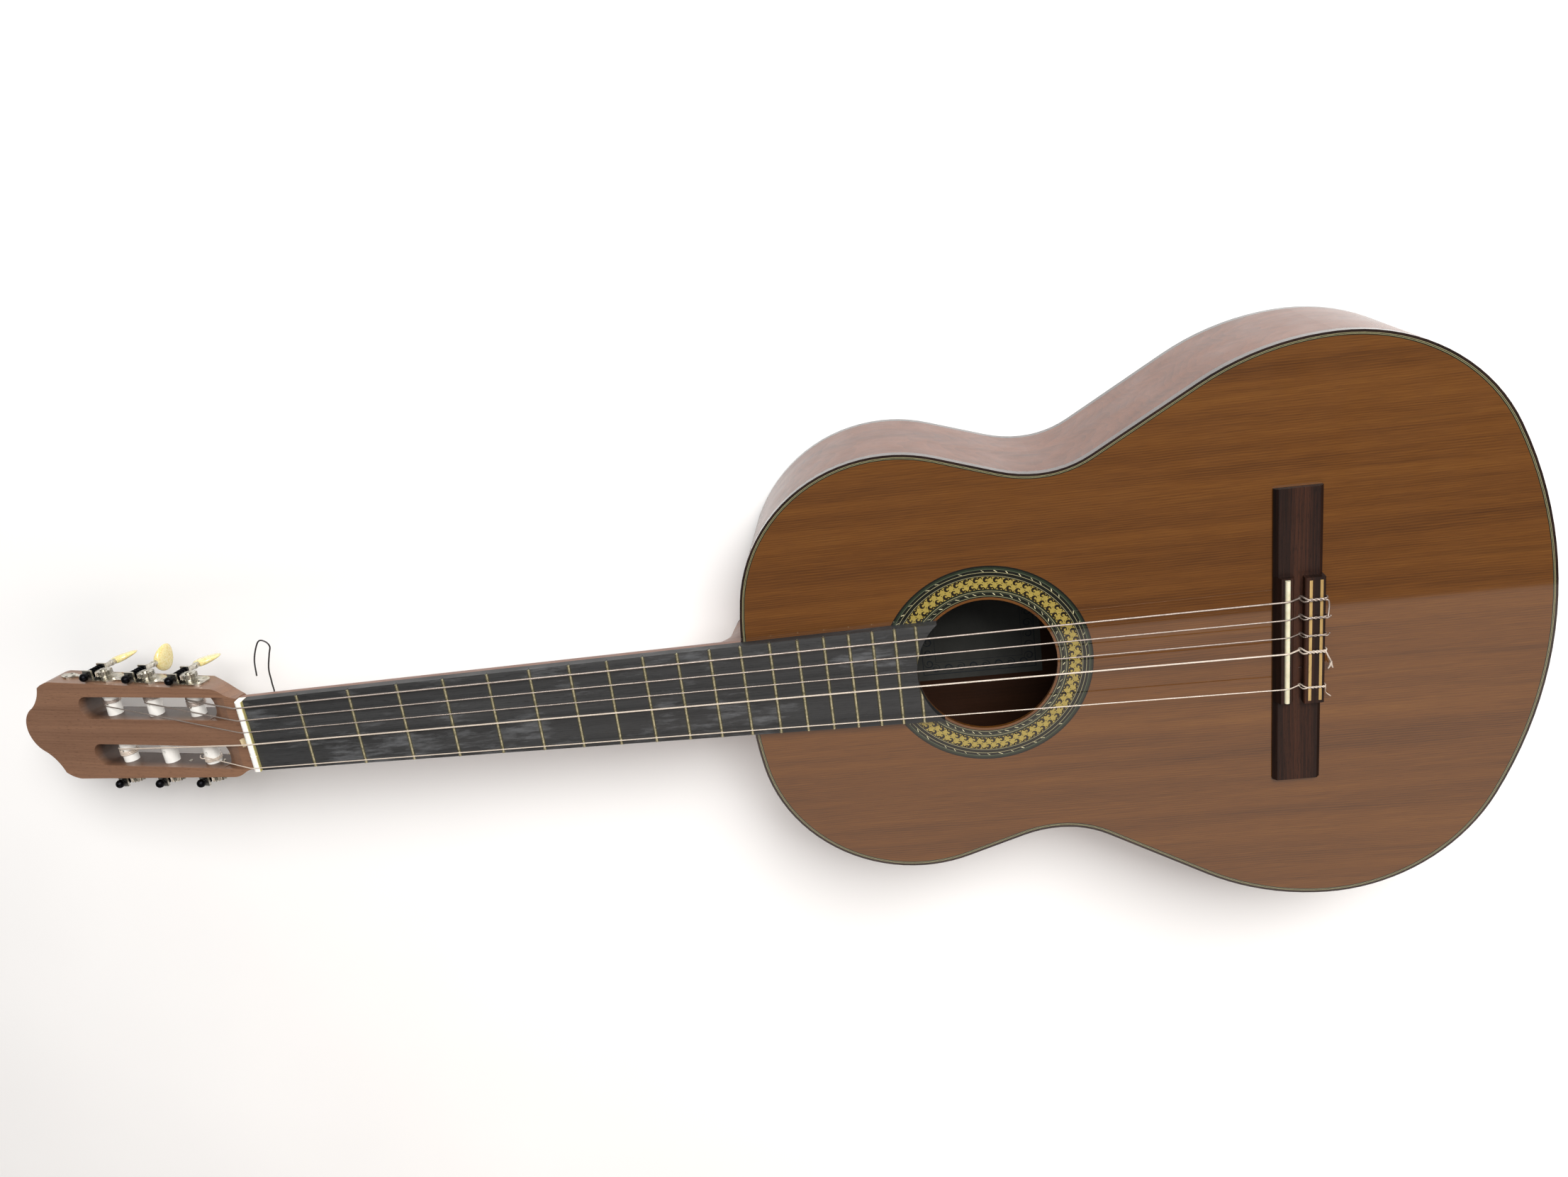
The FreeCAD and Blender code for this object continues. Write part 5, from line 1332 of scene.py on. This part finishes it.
    def build_turns(self) -> None:
        """Winds the string's turns on the roller, next to where it arrives, with its end bent in."""
        tuner, r = self.tuner, self.radius
        pitch = 2 * r + 0.03 * MM
        high = pitch * self.turns
        along = (self.roller_middle() - tuner.edge).dot(tuner.outwards)
        start = along + 2 * r + 0.3 * MM
        if start + high > self.slot_outer - abs(tuner.edge.y):
            start = along - 2 * r - 0.3 * MM - high
        bend = self.roller_radius + r + self.touch
        per_turn = 20
        dice = random.Random(self.name)
        line = []
        for step in range(self.turns * per_turn - per_turn // 2):
            angle = 2 * math.pi * step / per_turn
            wobble = dice.uniform(0, 0.12) * r
            line.append(tuner.edge + tuner.outwards * (start + r + pitch * step / per_turn)
                        + (tuner.out * math.cos(angle) + tuner.to_tip * math.sin(angle)) * (bend + wobble))
        ahead = (line[-1] - line[-2]).normalized()
        out = line[-1] - tuner.edge
        away = (out - tuner.outwards * out.dot(tuner.outwards)).normalized()
        line += [line[-1] + ahead * 1.2 * MM + away * 0.3 * MM, line[-1] + ahead * 2.6 * MM + away * 1.3 * MM]
        points, faces, marks = tube(smooth_route(line, 2), r)
        name = f"{tuner.side.value}_{tuner.number}"
        piece = make_object(f"turns_{self.name}", points, faces, [self.finish], uv=marks)
        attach(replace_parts(piece, f"wrap_{self.name}"), f"capstan_{name}")


@dataclass(frozen=True)
class StringSet:
    """The five strings still on the guitar, and their loose ends."""

    loop: tuple = (  # mm from the nut's back edge, the middle and the line under the neck
        (-4, 9, -8), (8, 13, -7), (11, 24, -4), (15, 36, 2), (21, 48, 7), (24, 54, 9), (22.5, 58, 10),
        (18.5, 59, 10), (14.5, 54, 9), (10.5, 45, 8), (8.5, 34, 7))
    loop_radius: float = 0.5 * MM
    loop_under: float = 20 * MM  # the line's depth under the neck's top
    tongue_radius: float = 0.85 * MM

    def build(self) -> None:
        """Strings it, the second string left off."""
        bass = [Tuner(Side.BASS, number) for number in (1, 2, 3)]
        treble = [Tuner(Side.TREBLE, number) for number in (1, 2, 3)]
        strings = [
            GuitarString("sixth", 0.545 * MM, 21.2 * MM, 26.9 * MM, bass[0], 22 * MM, WOUND, "wound_string",
                         tail=((1.6, -0.6, -0.2), (2.2, -4, -0.6), (1.9, -8, -0.4), (1.4, -11, 0.2))),
            GuitarString("fifth", 0.445 * MM, 12.3 * MM, 15.4 * MM, bass[1], 19.5 * MM, WOUND, "wound_string",
                         tail=((1.2, -0.2, 0), (2.4, 0.6, 0.3), (3.0, 1.6, 0.9))),
            GuitarString("fourth", 0.37 * MM, 3.7 * MM, 4.0 * MM, bass[2], 17 * MM, WOUND, "wound_string",
                         tail=((1.2, -0.2, 0), (2.2, 0.8, 0.2), (2.6, 1.9, 0.8))),
            GuitarString("third", 0.51 * MM, -5.1 * MM, -6.4 * MM, treble[2], -15.5 * MM, NYLON, "nylon",
                         twists=2.5,
                         tail=((0.8, -1.2, 0.1), (2.4, -4.6, -0.5), (4.6, -8.6, -3.2), (5.2, -10.6, -5.6))),
            GuitarString("first", 0.355 * MM, -22.3 * MM, -29.6 * MM, treble[0], -20.5 * MM, NYLON, "nylon",
                         twists=2.5,
                         tail=((0.9, -1, -0.2), (1.6, -4.2, -2.6), (3.4, -7.6, -5.8), (6.6, -10.8, -7.4))),
        ]
        for string in strings:
            string.build()
        self.tail_loop(bass[0])
        self.frayed_end(strings[3])
        self.roller_ends(treble, bass)

    def tail_loop(self, tuner: Tuner) -> None:
        """A tarnished wound tail that leaves the head's back and stands out beside the nut in a loop.

        Args:
            tuner: The roller that it comes from.
        """
        origin = Vector((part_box("nut")[0].x, 0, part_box("neck")[1].z - self.loop_under))
        start = tuner.edge - tuner.outwards * 12 * MM - tuner.out * 8 * MM
        line = [start, start - tuner.out * 9 * MM - tuner.to_tip * 4 * MM,
                *[origin + Vector(step) * MM for step in self.loop]]
        points, faces, marks = tube(smooth_route(line, 8), self.loop_radius)
        piece = make_object("tail_sixth", points, faces, [TARNISHED], uv=marks)
        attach(piece, "root")

    def frayed_end(self, string: GuitarString) -> None:
        """The third string's tail is crushed flat at its end and split in two pale tongues.

        Args:
            string: The third string.
        """
        start = string.tie()[-1]
        parts = []
        for aside, long in ((-1.5, 4.4), (1.3, 4.0)):
            steps = ((0.2, 0.6, 0.2), (0.4 + aside * 0.35, -long * 0.5, -0.1), (0.4 + aside, -long, -0.5))
            line = [start + Vector(step) * MM for step in steps]
            parts.append(tube(smooth_route(line), self.tongue_radius, taper=0.45))
        points, faces, marks = joined(parts)
        piece = make_object("frayed_third", points, faces, [NYLON], uv=marks)
        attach(piece, "root")

    def roller_ends(self, treble: list, bass: list) -> None:
        """Ends that stick out of the rollers: they turn with them, so they stay short of the slots' walls.

        Args:
            treble: The treble side's tuners.
            bass: The bass side's tuners.
        """
        places = (  # name, tuner, finish, mm along the roller, degrees round it, radius in mm
            ("end_first", treble[0], NYLON, -11.5, 35, 0.33),
            ("end_third", treble[2], NYLON, -12.5, 150, 0.45),
            ("end_fourth", bass[2], WOUND, -12.0, 200, 0.35))
        for name, tuner, finish, along, angle, radius in places:
            turn = math.radians(angle)
            way = tuner.out * math.cos(turn) + tuner.to_tip * math.sin(turn)
            across = tuner.outwards.cross(way)
            root = tuner.edge + tuner.outwards * along * MM
            steps = ((4.6, 0, 0), (6.4, 0.4, 0), (7.4, 2.2, 0.8), (6.6, 4.4, 1.6))  # away, across, inwards
            line = [root + (way * away + across * aside - tuner.outwards * inwards) * MM
                    for away, aside, inwards in steps]
            points, faces, marks = tube(smooth_route(line), radius * MM)
            piece = make_object(name, points, faces, [finish], uv=marks)
            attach(piece, f"capstan_{tuner.side.value}_{tuner.number}")


@dataclass(frozen=True)
class LabelPrint:
    """A plain printed border of scrolls on the label inside."""

    margin: float = 4 * MM
    line: float = 0.6 * MM
    proud: float = 0.05 * MM

    def build(self) -> None:
        """Draws two frame lines and a row of scrolls between them."""
        low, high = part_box("soundhole_label")
        top = high.z + self.proud
        parts = []
        for inset, wide in ((self.margin, self.line), (self.margin + 9 * MM, self.line / 2)):
            parts.append(self.frame_line(low, high, top, inset, wide))
        inset = self.margin + 4.5 * MM
        corners = self.corners(low, high, top, inset)
        for start, end in zip(corners, corners[1:] + corners[:1]):
            count = int((end - start).length / (8 * MM))
            way = (end - start).normalized()
            for number in range(count):
                parts.append(self.curl(start.lerp(end, (number + 0.5) / count), way, 1 if number % 2 else -1))
        points, faces, _ = joined(parts)
        piece = make_object("label_print", points, faces, [INK], smooth=False)
        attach(piece, "root")
        LOG.info("label: border of %d strokes", len(parts))

    def corners(self, low: Vector, high: Vector, top: float, inset: float) -> list:
        """Four corners at a distance inside the label's edge."""
        left, right, near, far = low.x + inset, high.x - inset, low.y + inset, high.y - inset
        return [Vector((x, y, top)) for x, y in ((left, near), (right, near), (right, far), (left, far))]

    def frame_line(self, low: Vector, high: Vector, top: float, inset: float, wide: float) -> tuple:
        """One line of the frame.

        Args:
            low: The label's lowest corner.
            high: Its highest corner.
            top: The print's height.
            inset: The line's distance from the label's edge.
            wide: The line's width.

        Returns:
            Its points, faces and no marks.
        """
        points = []
        for edge in (inset, inset + wide):
            points += self.corners(low, high, top, edge)
        return points, [(side, (side + 1) % 4, 4 + (side + 1) % 4, 4 + side) for side in range(4)], []

    def curl(self, centre: Vector, way: Vector, flip: int) -> tuple:
        """One spiral scroll with a leafy stroke.

        Args:
            centre: Its middle.
            way: The border's direction.
            flip: The side that it curls to.

        Returns:
            Its points, faces and no marks.
        """
        aside = Vector((-way.y, way.x, 0)) * flip
        points = []
        steps = 22
        for step in range(steps + 1):
            t = step / steps
            angle = math.radians(-120 + 480 * t)
            reach = (3.4 - 2.5 * t) * MM
            wide = (0.2 + 0.75 * math.sin(math.pi * t)) * MM
            for edge in (-0.5, 0.5):
                spot = reach + wide * edge
                points.append(centre + way * (spot * math.cos(angle)) + aside * (spot * math.sin(angle)))
        return points, strip_faces(steps), []


@dataclass(frozen=True)
class Studio:
    """The pale floor, the soft lamps and the camera."""

    lens: float = 28.77  # mm, on a sensor 36 mm wide
    camera_place: tuple = (-0.1325, 0.3168, 0.8108)
    camera_way: tuple = (-0.1019, -0.3331, -0.9374)
    camera_up: tuple = (0.098, 0.9343, -0.3427)
    floor_half: float = 6.0
    air: float = 0.13  # strength of the light from all round
    lamps: tuple = (  # name, place, target, size, watts, colour
        ("key", (0.5, 1.5, 2.0), (0, 0, 0), (1.3, 1.3), 68, "#fffdfa"),
        ("soft_top", (-0.2, 1.4, 2.6), (0, 0, 0), (2.4, 1.6), 34, "#ffffff"),
        ("low_panel", (0.1, -0.95, 1.15), (0.1, -0.75, 0), (2.3, 1.0), 8, "#fff0e6"))

    def build(self) -> None:
        """Sets the stage."""
        half = self.floor_half
        floor = make_object("floor", [(-half, -half, 0), (half, -half, 0), (half, half, 0), (-half, half, 0)],
                            [(0, 1, 2, 3)], [FLOOR], smooth=False)
        floor.location.z = -0.2 * MM
        for lamp in self.lamps:
            self.lamp(*lamp)
        world = bpy.data.worlds.new("studio_air")
        bpy.context.scene.world = world
        world.use_nodes = True
        sky = world.node_tree.nodes["Background"].inputs
        sky["Color"].default_value, sky["Strength"].default_value = linear("#f5f5f5"), self.air
        self.camera()
        bpy.context.scene.view_settings.view_transform = "Standard"

    def lamp(self, name: str, place: tuple, target: tuple, size: tuple, power: float, colour: str) -> None:
        """Hangs a soft rectangular lamp.

        Args:
            name: Its name.
            place: Where it hangs.
            target: What it faces.
            size: Its width and height, in metres.
            power: Its power, in watts.
            colour: Its colour.
        """
        light = bpy.data.lights.new(name, "AREA")
        light.shape = "RECTANGLE"
        light.size, light.size_y = size
        light.energy = power
        light.color = linear(colour)[:3]
        lamp = bpy.data.objects.new(name, light)
        lamp.location = place
        lamp.rotation_mode = "QUATERNION"
        lamp.rotation_quaternion = (Vector(target) - Vector(place)).to_track_quat("-Z", "Y")
        lamp.visible_camera = False
        bpy.context.scene.collection.objects.link(lamp)

    def camera(self) -> None:
        """Places the camera."""
        data = bpy.data.cameras.new("camera")
        data.lens, data.sensor_width = self.lens, 36
        data.clip_start, data.clip_end = 0.01, 50
        camera = bpy.data.objects.new("camera", data)
        back = -Vector(self.camera_way).normalized()
        right = Vector(self.camera_up).cross(back).normalized()
        turn = Matrix((right, back.cross(right), back)).transposed().to_4x4()
        camera.matrix_world = Matrix.Translation(self.camera_place) @ turn
        bpy.context.scene.collection.objects.link(camera)
        bpy.context.scene.camera = camera


def main() -> None:
    """Builds the guitar's looks and its stage."""
    logging.basicConfig(level=logging.INFO, format="%(name)s: %(message)s")
    Studio().build()
    Dressing().dress()
    Rosette().build()
    Purfling().build()
    LabelPrint().build()
    turns = {Side.BASS: (12, 82, 16), Side.TREBLE: (-10, 6, 14)}
    for side, angles in turns.items():
        for number, angle in enumerate(angles, start=1):
            Button(Tuner(side, number), angle).build()
    StringSet().build()
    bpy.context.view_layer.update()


if __name__ == "__main__":
    main()
